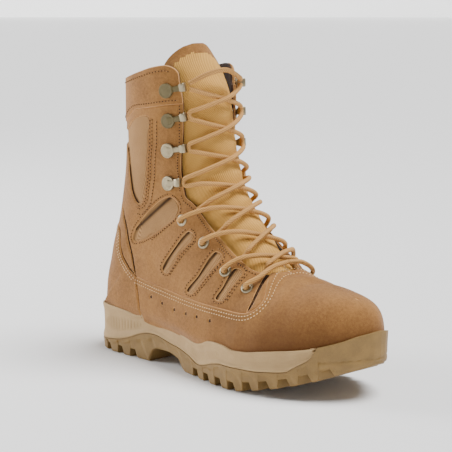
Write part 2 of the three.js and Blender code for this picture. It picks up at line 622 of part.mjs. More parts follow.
// Tongue
const tongueAt = curve(TONGUE);
const TONGUE_COLUMNS = [0, 0.35, 0.7, 0.93, 1.04];
function tongue() {
  const rows = [8.2, 8.7, 9.2, 10.2, 11.4, 12.8, 14.2, 16.5, 18.5, 20, 21.2, 22, 22.6, 23.1, 23.4];
  const grid = (depth) => rows.map((row) => {
    const u = Math.min(row, SECTIONS.length - 1.02);
    const [span, middle, edge, lean] = tongueAt(row);
    const open = (side) => (row < 8.7 ? span * 0.6 : throatAt(u, side));
    const cols = (side) => [
      ...TONGUE_COLUMNS.map((q) => side * Math.min(q * open(side), span * 0.92)), side * span,
    ];
    const signed = [...cols(-1).slice(1).reverse(), ...cols(1)];
    return signed.map((phi) => {
      const q = Math.abs(phi) / open(phi);
      const swell = Math.max(0, 1 - 1.15 * q * q);
      const thin = 0.5 + 0.5 * Math.max(0, 1 - (Math.abs(phi) / span) ** 2);
      const p = onForm(u, phi, edge + (middle - edge) * swell - depth * thin);
      p.x -= lean;
      return p;
    });
  });
  return between(grid(0), grid(TONGUE_THICK));
}

// Lacing hardware
function eyelet(u, phi, seatAbove) {
  const r = RING_BORE / 2;
  const g = new THREE.LatheGeometry([
    new THREE.Vector2(r, 0), new THREE.Vector2(r + RING_WIDTH, 0),
    new THREE.Vector2(r + RING_WIDTH, RING_THICK * 0.5),
    new THREE.Vector2(r + RING_WIDTH * 0.5, RING_THICK), new THREE.Vector2(r, RING_THICK * 0.6),
    new THREE.Vector2(r, 0),
  ], 10);
  return placed(g, u, phi, seatAbove);
}
function placed(g, u, phi, height) {
  g.applyQuaternion(new THREE.Quaternion().setFromUnitVectors(
    new THREE.Vector3(0, 1, 0), formNormal(u, phi),
  ));
  const p = onForm(u, phi, height);
  g.translate(p.x, p.y, p.z);
  return fromGeometry(g);
}
// Frame at the hook: from the button to the open end, out of the leather, and across
function hookFrame(level, side) {
  const [u, button, endU, end, shift] = HOOKS[level];
  const move = side > 0 ? shift : 0;
  const b = onForm(u, side * (button + move), 0);
  const e = onForm(endU, side * (end + move), 0);
  const out = formNormal((u + endU) / 2, (side * (button + end + 2 * move)) / 2);
  const along = e.clone().sub(b);
  along.addScaledVector(out, -along.dot(out)).normalize();
  const over = new THREE.Vector3().crossVectors(along, out);
  return { b, e, out, along, over, reach: e.clone().sub(b).dot(along) };
}
const HOOK_STAND = 1.3; // clear of the curved leather under the arm
const HOOK_OPEN = LACE + 2 * GAP;
function hook(level, side) {
  const [u, button, , , shift, seatAbove] = HOOKS[level];
  const f = hookFrame(level, side);
  const h = HOOK_STAND;
  const t = HOOK_STOCK;
  const far = f.reach;
  const back = far - HOOK_OPEN;
  const shape = new THREE.Shape([
    [0, h], [far, h], [far + t, h + t], [far + t, h + t + HOOK_OPEN], [far, h + 2 * t + HOOK_OPEN],
    [back, h + 1.6 * t + HOOK_OPEN], [back, h + 0.6 * t + HOOK_OPEN], [far - t, h + HOOK_OPEN + t],
    [far, h + HOOK_OPEN], [far - 0.2 * t, h + t], [0, h + t],
  ].map(([x, y]) => new THREE.Vector2(x, y)));
  const g = new THREE.ExtrudeGeometry(shape, { depth: HOOK_WIDTH, bevelEnabled: false });
  g.translate(0, 0, -HOOK_WIDTH / 2);
  g.applyMatrix4(new THREE.Matrix4().makeBasis(f.along, f.out, f.over).setPosition(f.b));
  const r = BUTTON_DIAMETER / 2;
  const disc = new THREE.LatheGeometry([
    new THREE.Vector2(0, 0), new THREE.Vector2(r, 0), new THREE.Vector2(r, BUTTON_THICK * 0.6),
    new THREE.Vector2(r * 0.8, BUTTON_THICK), new THREE.Vector2(0, BUTTON_THICK),
  ], 8);
  const way = side * (button + (side > 0 ? shift : 0));
  return fromGeometry(g).add(placed(disc, u, way, seatAbove));
}

// Laces
const SIDES = 8;
function cord(points) {
  const path = new THREE.CatmullRomCurve3(points, false, "centripetal");
  const ring = new THREE.Shape();
  for (let i = 0; i < SIDES; i++) {
    const a = (i / SIDES) * 2 * Math.PI;
    const [x, y] = [(LACE / 2) * Math.cos(a), (LACE / 2) * Math.sin(a)];
    if (i === 0) ring.moveTo(x, y);
    else ring.lineTo(x, y);
  }
  const steps = Math.round(path.getLength() / (2.6 * LACE));
  return fromGeometry(new THREE.ExtrudeGeometry(ring, {
    steps, extrudePath: path, bevelEnabled: false,
  }));
}
// Row that lies a distance further up the boot
function rowPast(u, phi, distance) {
  const step = formPoint(u + 0.05, phi).distanceTo(formPoint(u - 0.05, phi)) / 0.1;
  return u + distance / step;
}
const LIFT = LACE / 2 + 1;
const RING_TOP = RINGS[0][2] + RING_THICK + GAP + LACE / 2;
// Where a lace lies at a station: level 0 to 3 are the rings, 4 to 7 the hooks
function arrival(level, side) {
  if (level < RINGS.length) {
    const [u, phi] = RINGS[level];
    return [
      onForm(rowPast(u, phi, -LACE), side * (throatAt(u, side) + 0.012), RING_TOP + 0.5),
      onForm(u, side * phi, RING_TOP + 0.1),
    ];
  }
  const f = hookFrame(level - RINGS.length, side);
  const down = f.over.z > 0 ? -1 : 1;
  return [f.e.clone()
    .addScaledVector(f.along, HOOK_STOCK + LACE / 2 + 1.5 * GAP)
    .addScaledVector(f.over, down * (LACE / 2 + 0.12))
    .addScaledVector(f.out, HOOK_STAND + LACE / 2)];
}
function departure(level, side) {
  if (level < RINGS.length) {
    const [u] = RINGS[level];
    const q = throatAt(u, side) - 0.045;
    return [onForm(rowPast(u, q, LACE * (level > 0 ? -0.8 : 0.4)), side * q, 0.4)];
  }
  const f = hookFrame(level - RINGS.length, side);
  const up = f.over.z > 0 ? 1 : -1;
  return [f.e.clone()
    .addScaledVector(f.along, HOOK_STOCK + LACE / 2 + 1.5 * GAP)
    .addScaledVector(f.over, up * (LACE / 2 + 0.12))
    .addScaledVector(f.out, HOOK_STAND + LACE / 2)];
}
const stationRow = (level) => (
  level < RINGS.length ? RINGS[level][0] : HOOKS[level - RINGS.length][2]
);
// Point over the form above a straight line from a to b, where the way round is phi
function tautly(a, b, phi, row, height) {
  const out = formNormal(row, 0);
  const across = b.clone().sub(a).cross(out);
  let [low, high] = [row - 4, row + 4];
  const off = (u) => formPoint(u, phi).sub(a).dot(across);
  const rising = off(high) > off(low);
  for (let n = 0; n < 30; n++) {
    const mid = (low + high) / 2;
    if (off(mid) > 0 === rising) high = mid;
    else low = mid;
  }
  return onForm((low + high) / 2, phi, height);
}
function strand(level, side, height) {
  const row = (stationRow(level) + stationRow(level + 1)) / 2;
  const [from, to] = [departure(level, side), arrival(level + 1, -side)];
  const [a, b] = [from[from.length - 1], to[0]];
  const [near, far] = [side * throatAt(row, side), -side * throatAt(row, -side)];
  return cord([
    ...from,
    tautly(a, b, near * 0.55, row, LIFT + 0.8),
    tautly(a, b, 0.005 * side, row, height),
    tautly(a, b, far * 0.6, row, LIFT + 1),
    ...to,
  ]);
}
const crossing = (level) => strand(level, 1, LIFT + 0.2).add(strand(level, -1, LIFT + LACE * 0.8));
function bottomBar() {
  const [u, phi] = RINGS[0];
  const low = rowPast(u, phi, -LACE * 1.1);
  const way = [[1, RING_TOP + 0.1, u], [0.72, RING_TOP + 0.8, low], [0.35, LIFT + 2.4, low]];
  const points = [
    ...way.map(([q, h, row]) => onForm(row, -q * phi, h)),
    onForm(low, 0, LIFT + 2.8),
    ...way.slice().reverse().map(([q, h, row]) => onForm(row, q * phi, h)),
  ];
  return cord(points);
}
// Loose half knot between the top hooks
function knot() {
  const top = HOOKS.length + RINGS.length - 1;
  const u = HOOKS[HOOKS.length - 1][2];
  const one = [departure(top, -1)[0], onForm(u + 0.3, -0.1, LIFT + 1), onForm(u + 0.35, 0, LIFT + 2),
    onForm(u + 0.1, 0.1, LIFT + 3.4), departure(top, 1)[0]];
  return cord(one);
}

// Scene graph
const toShape = (solid) => {
  const m = solid.getMesh();
  const g = new THREE.BufferGeometry();
  g.setAttribute("position", new THREE.BufferAttribute(new Float32Array(m.vertProperties), 3));
  g.setIndex(new THREE.BufferAttribute(new Uint32Array(m.triVerts), 1));
  g.computeVertexNormals();
  return g;
};
const look = (color, roughness, metalness = 0) =>
  new THREE.MeshStandardMaterial({ color, roughness, metalness });
const suede = look(0xb18a5a, 0.95);
const lining = look(0x6d5238, 0.95);
const cloth = look(0xc9ab7c, 0.9);
const foam = look(0xb29f80, 0.75);
const rubber = look(0xa5935f, 0.8);
const lace = look(0xc2a27a, 0.85);
const nickel = look(0xb9ae93, 0.35, 0.8);
const olive = look(0x8f8458, 0.5, 0.4);

const boot = new THREE.Group();
boot.name = "tactical_boot";
boot.position.set(-LENGTH / 2, 0, 0);
function add(name, solid, material) {
  const mesh = new THREE.Mesh(toShape(solid), material);
  mesh.name = name;
  boot.add(mesh);
}
add("outsole", outsole, rubber);
add("midsole", midsole, foam);
add("insole", insole, lining);
add("upper", upper, cloth);
add("tongue", tongue(), cloth);
add("vamp_and_side_band", vamp, suede);
add("heel_counter", counter, suede);
add("quarter_lateral", sideOf(quarters, -1), suede);
add("quarter_medial", sideOf(quarters, 1), suede);
add("collar_cuff", cuff, suede);
const sideName = { "-1": "lateral", 1: "medial" };
for (const side of [-1, 1]) {
  RINGS.forEach(([u, phi, high], i) => {
    add(`eyelet_${sideName[side]}_${i + 1}`, eyelet(u, side * phi, high), nickel);
  });
  HOOKS.forEach((row, i) => {
    add(`hook_${sideName[side]}_${i + 1}`, hook(i, side), i > 1 ? olive : nickel);
  });
}
add("lace_bar", bottomBar(), lace);
for (let level = 0; level < RINGS.length + HOOKS.length - 1; level++) {
  add(`lace_cross_${level + 1}`, crossing(level), lace);
}
add("lace_knot", knot(), lace);

export default boot;
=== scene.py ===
"""Tactical boot, right foot: dressed model. Lengths in millimetres until a mesh is made."""
import math
import bpy
import numpy as np
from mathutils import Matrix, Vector
from mathutils.geometry import delaunay_2d_cdt
from mathutils.kdtree import KDTree


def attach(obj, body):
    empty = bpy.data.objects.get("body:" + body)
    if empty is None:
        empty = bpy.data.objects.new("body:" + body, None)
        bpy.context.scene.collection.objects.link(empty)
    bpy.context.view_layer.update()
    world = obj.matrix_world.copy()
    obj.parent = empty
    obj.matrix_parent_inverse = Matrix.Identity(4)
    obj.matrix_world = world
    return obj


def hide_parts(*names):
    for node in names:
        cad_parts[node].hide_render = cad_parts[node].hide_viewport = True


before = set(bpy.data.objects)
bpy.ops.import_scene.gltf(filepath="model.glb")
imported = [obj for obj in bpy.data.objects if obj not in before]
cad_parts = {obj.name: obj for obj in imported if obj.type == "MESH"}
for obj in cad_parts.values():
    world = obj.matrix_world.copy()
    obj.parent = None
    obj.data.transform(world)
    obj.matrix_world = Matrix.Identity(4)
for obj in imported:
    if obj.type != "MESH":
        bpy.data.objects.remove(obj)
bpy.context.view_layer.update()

# Driving sizes, as in the solids
LENGTH, BALL_WIDTH, BOOT_HEIGHT, SOLE_HEIGHT, SHAFT_WIDTH = 308, 106, 266, 40, 82
FEATHER, PANEL, WALL, GAP, TREAD_DEPTH = 3.2, 1.2, 2.4, 0.3, 7
SLOT_WIDE, SLOT_NARROW, LACE = 7, 3.4, 4.2
RING_BORE, RING_WIDTH, RING_THICK = 5.4, 2.5, 1.3
HOOK_WIDTH, HOOK_STOCK, BUTTON, BUTTON_THICK = 7, 1.2, 12.4, 2.4
HEEL_ROW, FOOT_ROW, LAST_ROW, PINCH = 17, 8, 24, 16

OUTLINE = [
    [0, 0, 0], [0.004, 0, 0.104], [0.016, 0, 0.203], [0.036, 0, 0.276], [0.065, 0, 0.326],
    [0.107, 0, 0.357], [0.169, -0.003, 0.363], [0.247, -0.009, 0.353], [0.325, -0.023, 0.336],
    [0.403, -0.035, 0.343], [0.481, -0.041, 0.383], [0.552, -0.038, 0.436], [0.617, -0.026, 0.477],
    [0.675, -0.011, 0.5], [0.734, 0.008, 0.5], [0.789, 0.027, 0.477], [0.838, 0.046, 0.44],
    [0.88, 0.062, 0.39], [0.916, 0.075, 0.33], [0.945, 0.085, 0.264], [0.969, 0.092, 0.189],
    [0.987, 0.096, 0.113], [0.997, 0.099, 0.055], [1, 0.099, 0],
]
RIM_LINE = [
    [0, 1.01], [0.075, 1.06], [0.143, 1.04], [0.192, 1.01], [0.221, 0.975], [0.237, 0.99],
    [0.26, 1.06], [0.279, 1.05], [0.354, 0.91], [0.412, 0.84], [0.461, 0.775], [0.5, 0.74],
    [0.532, 0.79], [0.565, 0.89], [0.594, 0.91], [0.63, 0.89], [0.67, 0.84], [0.705, 0.85],
    [0.747, 0.9], [0.8, 0.96], [0.847, 1.01], [0.877, 1.05], [0.912, 1.125], [0.948, 1.225],
    [0.974, 1.325], [1, 1.4],
]
SEAT_LINE = [
    [0, 0.8], [0.195, 0.78], [0.357, 0.675], [0.5, 0.56], [0.67, 0.6], [0.8, 0.725],
    [0.912, 0.925], [1, 1.15],
]
PARTING_LINE = [
    [0, 0.22], [0.036, 0.225], [0.094, 0.275], [0.143, 0.325], [0.185, 0.41], [0.224, 0.52],
    [0.253, 0.59], [0.276, 0.62], [0.302, 0.62], [0.328, 0.59], [0.367, 0.53], [0.412, 0.48],
    [0.464, 0.4], [0.513, 0.3], [0.549, 0.35], [0.588, 0.44], [0.617, 0.48], [0.659, 0.485],
    [0.73, 0.49], [0.776, 0.515], [0.828, 0.5625], [0.841, 0.625], [0.86, 0.725],
    [0.883, 0.85], [0.893, 0.98], [0.9, 1.12], [0.93, 1.6], [1, 2],
]
GROUND_LINE = [
    [0, 0.14], [0.016, 0.05], [0.036, 0], [0.27, 0], [0.285, 0.24], [0.3, 0.31], [0.35, 0.32],
    [0.4, 0.24], [0.42, 0.06], [0.436, 0], [0.665, 0], [0.705, 0.05], [0.75, 0.12], [0.8, 0.205],
    [0.857, 0.33], [0.903, 0.45], [0.942, 0.59], [0.981, 0.7], [1, 0.81],
]
# Upper sections: front x and z, end x, lift of the end up the heel, full width, place of the
# widest point, ridge off the middle, roundness before and after the widest point
SECTIONS = [
    [0.987, 0.214, 0.987, 0, 0, 0.78, 0.092, 2.5, 2.2],
    [0.984, 0.238, 0.983, 0, 0, 0.78, 0.09, 2.5, 2.2],
    [0.974, 0.26, 0.972, 0, 0, 0.78, 0.085, 2.45, 2.2],
    [0.957, 0.279, 0.954, 0, 0, 0.78, 0.078, 2.4, 2.2],
    [0.933, 0.293, 0.929, 0, 0, 0.78, 0.07, 2.35, 2.2],
    [0.901, 0.304, 0.897, 0, 0, 0.77, 0.06, 2.3, 2.2],
    [0.862, 0.312, 0.858, 0, 0, 0.76, 0.051, 2.25, 2.2],
    [0.805, 0.32, 0.799, 0, 0, 0.75, 0.042, 2.2, 2.2],
    [0.737, 0.333, 0.721, 0, 0, 0.74, 0.034, 2.15, 2.2],
    [0.678, 0.358, 0.636, 0, 1.18, 0.73, 0.03, 2.2, 2.2],
    [0.639, 0.39, 0.571, 0, 1.165, 0.72, 0.028, 2.3, 2.3],
    [0.598, 0.431, 0.474, 0, 1.115, 0.7, 0.026, 2.45, 2.5],
    [0.556, 0.482, 0.351, 0, 1.04, 0.66, 0.024, 2.6, 3],
    [0.52, 0.533, 0.214, 0, 1, 0.62, 0.022, 2.75, 3.6],
    [0.496, 0.579, 0.097, 0, 0.95, 0.58, 0.02, 2.85, 4.2],
    [0.484, 0.605, 0.045, 0, 0.93, 0.56, 0.019, 2.9, 4.4],
    [0.478, 0.622, 0.02, 0, 0.92, 0.55, 0.019, 2.9, 4.4],
    [0.474, 0.636, 0.013, 0, 0.91, 0.54, 0.019, 2.9, 4.4],
    [0.466, 0.67, 0, 0.095, 0.9, 0.52, 0.019, 2.8, 4],
    [0.457, 0.716, 0, 0.2, 0.9, 0.51, 0.019, 2.6, 3.2],
    [0.45, 0.776, 0, 0.335, 0.915, 0.5, 0.019, 2.4, 2.6],
    [0.446, 0.843, 0, 0.485, 0.945, 0.5, 0.019, 2.25, 2.3],
    [0.444, 0.915, 0, 0.625, 0.975, 0.5, 0.019, 2.15, 2.2],
    [0.442, 1, 0, 0.765, 1, 0.5, 0.019, 2.1, 2.1],
    [0.44, 1.09, 0, 0.885, 1.02, 0.5, 0.019, 2.1, 2.1],
]
BACK_LINE = [
    [0, 0.013], [0.05, 0.0135], [0.1, 0.019], [0.2, 0.039], [0.335, 0.071], [0.485, 0.094],
    [0.625, 0.103], [0.765, 0.106], [0.885, 0.107],
]
# Throat: section row, opening on the outer and the inner side
THROAT = [
    [8.7, 0.06, 0.06], [9, 0.11, 0.11], [9.8, 0.165, 0.165], [10.8, 0.185, 0.185],
    [12.2, 0.215, 0.215], [14.1, 0.25, 0.255], [16, 0.28, 0.285], [18.7, 0.305, 0.295],
    [19.4, 0.3, 0.285], [20.4, 0.28, 0.255], [21.6, 0.27, 0.23], [22.4, 0.285, 0.24],
    [24, 0.3, 0.27],
]
# Tongue: section row, half span, height of its middle and edges, lean back into the shaft
TONGUE = [
    [8.2, 0.1, -5.4, -5.4, 0], [9.2, 0.19, -4, -6, 0], [10.5, 0.26, -2, -6.2, 0],
    [12, 0.3, -0.8, -6, 0], [14, 0.33, -0.5, -5.6, 0], [17, 0.38, -0.3, -5.1, 0],
    [19, 0.4, -0.2, -5.1, 0], [20.5, 0.4, -0.8, -5.2, 0], [21.6, 0.4, -3, -6, 1],
    [22.3, 0.41, -6, -7.5, 5], [22.8, 0.36, -8, -8.5, 11], [23.05, 0.3, -9, -9.5, 15],
    [23.25, 0.22, -9.6, -10, 17], [23.36, 0.14, -9.9, -10.4, 17.7], [23.4, 0.07, -10, -10.5, 18],
]
BAND_EDGE = [
    [0.22, 0.275], [0.33, 0.261], [0.44, 0.249], [0.57, 0.242], [0.7, 0.245], [0.724, 0.278],
    [0.705, 0.316], [0.68, 0.35], [0.672, 0.38],
]
COUNTER_EDGE = [
    [-0.1, 0.46], [0.05, 0.45], [0.133, 0.415], [0.153, 0.34], [0.175, 0.31], [0.22, 0.275],
]
COUNTER_SEAM = [[0.22, 0.275], [0.24, 0.207], [0.247, 0.165], [0.25, -0.05]]
CUFF_EDGE = [
    [-0.1, 0.75], [0.1, 0.762], [0.165, 0.786], [0.22, 0.82], [0.28, 0.831], [0.376, 0.846],
    [0.6, 0.86],
]
COLLAR_EDGE = [
    [-0.1, 0.9], [0.1, 0.915], [0.175, 0.925], [0.247, 0.944], [0.308, 0.962], [0.35, 0.967],
    [0.372, 0.957], [0.385, 0.935], [0.392, 0.905], [0.7, 0.9],
]
VENTS = [
    [[0.352, 0.55], [0.212, 0.43], [0.204, 0.393], [0.27, 0.414], [0.385, 0.51]],
    [[0.43, 0.45], [0.383, 0.391], [0.34, 0.32], [0.362, 0.31], [0.407, 0.381], [0.452, 0.437]],
    [[0.533, 0.4], [0.491, 0.32], [0.455, 0.27], [0.478, 0.266], [0.513, 0.314], [0.556, 0.387]],
    [[0.603, 0.358], [0.588, 0.3], [0.574, 0.266], [0.6, 0.266], [0.611, 0.297], [0.626, 0.348]],
]
WINDOW = [
    [0.09, 0.72], [0.16, 0.69], [0.186, 0.6], [0.2, 0.55], [0.222, 0.518], [0.236, 0.518],
    [0.25, 0.535], [0.258, 0.572], [0.277, 0.722], [0.284, 0.8], [0.22, 0.79], [0.165, 0.755],
    [0.09, 0.735],
]
RINGS = [[9.2, 0.255, 0.1], [10.8, 0.28, 0], [12.4, 0.295, 0], [14.2, 0.335, -0.5]]
# Hooks: row and way round at the button, then at the open end, shift on the inner side, seat
HOOKS = [
    [18.7, 0.372, 18.05, 0.295, -0.01, -0.4], [20.1, 0.37, 19.65, 0.255, -0.015, -0.3],
    [21.15, 0.361, 20.95, 0.246, -0.035, -0.5], [22.2, 0.361, 22.1, 0.244, -0.045, 0.42],
]
SLOTS = [0.085, 0.145, 0.203, 0.492, 0.549, 0.605, 0.66, 0.714, 0.767, 0.82, 0.87, 0.915]
SLOT_SLANT, SPINE = 0.02, 0.075

# Camera: the photograph's angle, with a long lens
def aim(eye, target, lens, shift):
    data = bpy.data.cameras.new("view")
    data.lens, data.sensor_width = lens, 36
    data.shift_x, data.shift_y = shift
    cam = bpy.data.objects.new("view", data)
    bpy.context.scene.collection.objects.link(cam)
    cam.location = eye
    cam.rotation_euler = (Vector(target) - Vector(eye)).to_track_quat("-Z", "Y").to_euler()
    bpy.context.scene.camera = cam
TURN, TILT, DISTANCE = math.radians(43.7), math.radians(8.8), 1.2
TARGET = (-0.004, 0.0, 0.12)
aim((TARGET[0] + DISTANCE * math.cos(TILT) * math.cos(TURN),
     TARGET[1] - DISTANCE * math.cos(TILT) * math.sin(TURN),
     TARGET[2] + DISTANCE * math.sin(TILT)), TARGET, 1421 / 452 * 36, (-5.9 / 452, 3.2 / 452))


# Form of the boot
class Line:
    """Smooth curve through rows of place and values, which never swings past its rows"""

    def __init__(self, rows, numbered=False):
        rows = np.array([[i, *r] for i, r in enumerate(rows)] if numbered else rows, float)
        self.at, self.v = rows[:, 0], rows[:, 1:]
        d = np.diff(self.v, axis=0) / np.diff(self.at)[:, None]
        same = d[:-1] * d[1:] > 0
        total = np.where(same, d[:-1] + d[1:], 1)
        inner = np.where(same, 2 * d[:-1] * d[1:] / total, 0)
        self.m = np.vstack([d[:1], inner, d[-1:]])

    def __call__(self, q):
        q = np.clip(np.asarray(q, float), self.at[0], self.at[-1])
        i = np.clip(np.searchsorted(self.at, q, side="right") - 1, 0, len(self.at) - 2)
        h = (self.at[i + 1] - self.at[i])[..., None]
        t = (q - self.at[i])[..., None] / h
        return ((2 * t**3 - 3 * t**2 + 1) * self.v[i] + (t**3 - 2 * t**2 + t) * h * self.m[i]
                + (-2 * t**3 + 3 * t**2) * self.v[i + 1] + (t**3 - t**2) * h * self.m[i + 1])


outline_at, rim_at, seat_at = Line(OUTLINE, True), Line(RIM_LINE), Line(SEAT_LINE)
parting_at, ground_at, back_at = Line(PARTING_LINE), Line(GROUND_LINE), Line(BACK_LINE)
section_at, throat_at, tongue_at = Line(SECTIONS, True), Line(THROAT), Line(TONGUE)
OUTLINE_FINE = outline_at(np.linspace(0, len(OUTLINE) - 1, 1200))


def across(share):
    """Centre line and half width of the sole's outline at a share of the length"""
    return (np.interp(share, OUTLINE_FINE[:, 0], OUTLINE_FINE[:, 1]) * BALL_WIDTH,
            np.interp(share, OUTLINE_FINE[:, 0], OUTLINE_FINE[:, 2]) * BALL_WIDTH)


INSET = FEATHER * 1.25


def seat(x):
    return seat_at(x / LENGTH)[..., 0] * SOLE_HEIGHT


def form_point(u, phi):
    """Point of the outer form: u is the section row, phi the way round from the ridge to the sole"""
    u, phi = np.broadcast_arrays(np.asarray(u, float), np.asarray(phi, float))
    fx, fz, bx, lift, full, at, ridge, fore, aft = np.moveaxis(section_at(u), -1, 0)
    on_back = u > HEEL_ROW
    end_x = np.where(on_back, back_at(lift)[..., 0], bx) * LENGTH
    heel = seat(np.array(SECTIONS[HEEL_ROW][2] * LENGTH)) + GAP
    end_z = np.where(on_back, heel + lift * BOOT_HEIGHT, seat(end_x) + GAP)
    share = np.clip((end_x - INSET) / (LENGTH - 2 * INSET), 0, 1)
    c, h = across(share)
    h = h * (1 - 2 * FEATHER / BALL_WIDTH)
    end_y = np.where(u >= HEEL_ROW, 0, c)
    end_w = np.where(u >= HEEL_ROW, 0, h) * (u > 0)
    foot = end_w * 1.02
    shaft = full * SHAFT_WIDTH / 2
    blend = (shaft + foot + np.hypot(shaft - foot, 1)) / 2
    mix = np.clip(u - FOOT_ROW, 0, 1)
    wide = foot * (1 - mix) + blend * mix
    way = np.abs(phi)
    front = way <= 0.5
    s, k = np.sin(way * np.pi), np.maximum(np.cos(way * np.pi), 0)
    turn = np.clip(way - 0.5, 0, None) * np.pi
    part = np.where(wide > 0.01, end_w / np.maximum(wide, 0.01), 1)
    down = np.where(front, at * (1 - k ** (2 / fore)),
                    at + (1 - at) * np.abs(np.sin(turn)) ** (2 / aft))
    rise = np.minimum((fz * BOOT_HEIGHT - end_z) * (1 - down) / PINCH, 1)
    hold = np.clip((end_w / BALL_WIDTH - 0.15) * 10, 0, 1)
    draw = 1 - hold * (1 - rise * rise * (3 - 2 * rise))
    out = np.where(front, np.abs(s) ** (2 / fore),
                   part + (1 - part) * np.maximum(np.cos(turn), 0) * draw)
    k = down * down * (3 - 2 * down)
    return np.stack([
        fx * LENGTH + (end_x - fx * LENGTH) * down,
        ridge * BALL_WIDTH * (1 - k) + end_y * k + np.sign(phi) * wide * out,
        fz * BOOT_HEIGHT + (end_z - fz * BOOT_HEIGHT) * down,
    ], -1)


def unit(v):
    return v / np.maximum(np.linalg.norm(v, axis=-1, keepdims=True), 1e-9)


def form_normal(u, phi):
    u, phi, e = np.asarray(u, float), np.asarray(phi, float), 0.01
    sign = np.where(phi < 0, -1, 1)
    q = np.clip(np.abs(phi), 0, 1)
    a = form_point(np.clip(u + e, 0, LAST_ROW), phi) - form_point(np.clip(u - e, 0, LAST_ROW), phi)
    inner = np.where(q + e > 1, q - 2 * e, q - e)
    b = form_point(u, sign * np.minimum(q + e, 1)) - form_point(u, sign * inner)
    return unit(np.cross(b, a)) * sign[..., None]


def on_form(u, phi, height):
    return form_point(u, phi) + form_normal(u, phi) * np.asarray(height)[..., None]


# Unrolled form: distance round from the ridge, distance up along the middle of the side
ROWS, WAYS = np.linspace(0, LAST_ROW, LAST_ROW * 8 + 1), np.linspace(0, 1, 121)
SPREAD = {}
for side in (-1, 1):
    grid = form_point(ROWS[:, None], side * np.maximum(WAYS, 1e-6)[None, :])
    steps = np.linalg.norm(np.diff(grid, axis=1), axis=2)
    arc = np.hstack([np.zeros((len(ROWS), 1)), np.cumsum(steps, 1)])
    share = arc / np.maximum(arc[:, -1:], 1e-6)
    back = np.array([np.interp(WAYS, s + np.arange(121) * 1e-9, WAYS) for s in share])
    SPREAD[side] = (grid, arc, back)
middle = (SPREAD[-1][0][:, 60] + SPREAD[1][0][:, 60]) / 2
middle[:, 1] = (SPREAD[1][0][:, 60, 1] - SPREAD[-1][0][:, 60, 1]) / 2
CLIMB = np.concatenate([[0], np.cumsum(np.linalg.norm(np.diff(middle, axis=0), axis=1))])


def look_up(table, u, w):
    """Value of a table over rows and ways, between its cells"""
    i = np.clip(u / LAST_ROW * (len(ROWS) - 1), 0, len(ROWS) - 1.000001)
    j = np.clip(w * 120, 0, 119.999999)
    a, b = i.astype(int), j.astype(int)
    p, q = i - a, j - b
    return (table[a, b] * (1 - p) * (1 - q) + table[a + 1, b] * p * (1 - q)
            + table[a, b + 1] * (1 - p) * q + table[a + 1, b + 1] * p * q)


def unroll(u, phi, side):
    u, w = np.asarray(u, float), np.abs(np.asarray(phi, float))
    return np.stack([look_up(SPREAD[side][1], u, w), np.interp(u, ROWS, CLIMB)], -1)


def roll(flat, side):
    u = np.interp(flat[..., 1], CLIMB, ROWS)
    reach = look_up(SPREAD[side][1], u, np.ones_like(u))
    w = look_up(SPREAD[side][2], u, np.clip(flat[..., 0] / np.maximum(reach, 1e-6), 0, 1))
    return u, np.clip(w, 0, 1)


def locate(points, side):
    """Rows and ways of points given in the side view, in millimetres"""
    points = np.asarray(points, float)
    grid = SPREAD[side][0][..., [0, 2]].reshape(-1, 2)
    k = np.array([np.argmin(((grid - q) ** 2).sum(1)) for q in points])
    u, w, e = ROWS[k // 121], WAYS[k % 121], 1e-3
    for _ in range(8):
        base = form_point(u, side * w)[:, [0, 2]]
        du = (form_point(np.minimum(u + e, LAST_ROW), side * w)[:, [0, 2]] - base) / e
        dw = (form_point(u, side * (w + e))[:, [0, 2]] - base) / e
        miss = points - base
        aa, bb, ab = (du * du).sum(1) + 1e-3, (dw * dw).sum(1) + 1e-1, (du * dw).sum(1)
        ra, rb, det = (du * miss).sum(1), (dw * miss).sum(1), 0
        det = aa * bb - ab * ab
        u = np.clip(u + np.clip((ra * bb - rb * ab) / det, -0.5, 0.5), 0, LAST_ROW)
        w = np.clip(w + np.clip((rb * aa - ra * ab) / det, -0.05, 0.05), 0, 1)
    return u, w


def smooth_path(points, spacing, closed=False):
    """Even points along a rounded path through the given ones"""
    p = np.asarray(points, float)
    n = len(p)
    ends = (p[-1:], p[:2]) if closed else (2 * p[:1] - p[1:2], 2 * p[-1:] - p[-2:-1])
    q = np.vstack([ends[0], p, ends[1]])
    out = []
    for i in range(n if closed else n - 1):
        a, b, c, d = q[i], q[i + 1], q[i + 2], q[(i + 3) % len(q)] if closed else q[i + 3]
        knots = [0]
        for s, e in ((a, b), (b, c), (c, d)):
            knots.append(knots[-1] + max(np.linalg.norm(e - s) ** 0.5, 1e-6))
        t = np.linspace(knots[1], knots[2], 17)[:-1, None]
        k0, k1, k2, k3 = knots
        a1 = (k1 - t) / (k1 - k0) * a + (t - k0) / (k1 - k0) * b
        a2 = (k2 - t) / (k2 - k1) * b + (t - k1) / (k2 - k1) * c
        a3 = (k3 - t) / (k3 - k2) * c + (t - k2) / (k3 - k2) * d
        b1 = (k2 - t) / (k2 - k0) * a1 + (t - k0) / (k2 - k0) * a2
        b2 = (k3 - t) / (k3 - k1) * a2 + (t - k1) / (k3 - k1) * a3
        out.append((k2 - t) / (k2 - k1) * b1 + (t - k1) / (k2 - k1) * b2)
    dense = np.vstack(out + [p[:1] if closed else p[-1:]])
    run = np.concatenate([[0], np.cumsum(np.linalg.norm(np.diff(dense, axis=0), axis=1))])
    count = max(int(round(run[-1] / spacing)), 3)
    at = np.linspace(0, run[-1], count + 1)
    even = np.stack([np.interp(at, run, dense[:, k]) for k in range(p.shape[1])], -1)
    return even[:-1] if closed else even


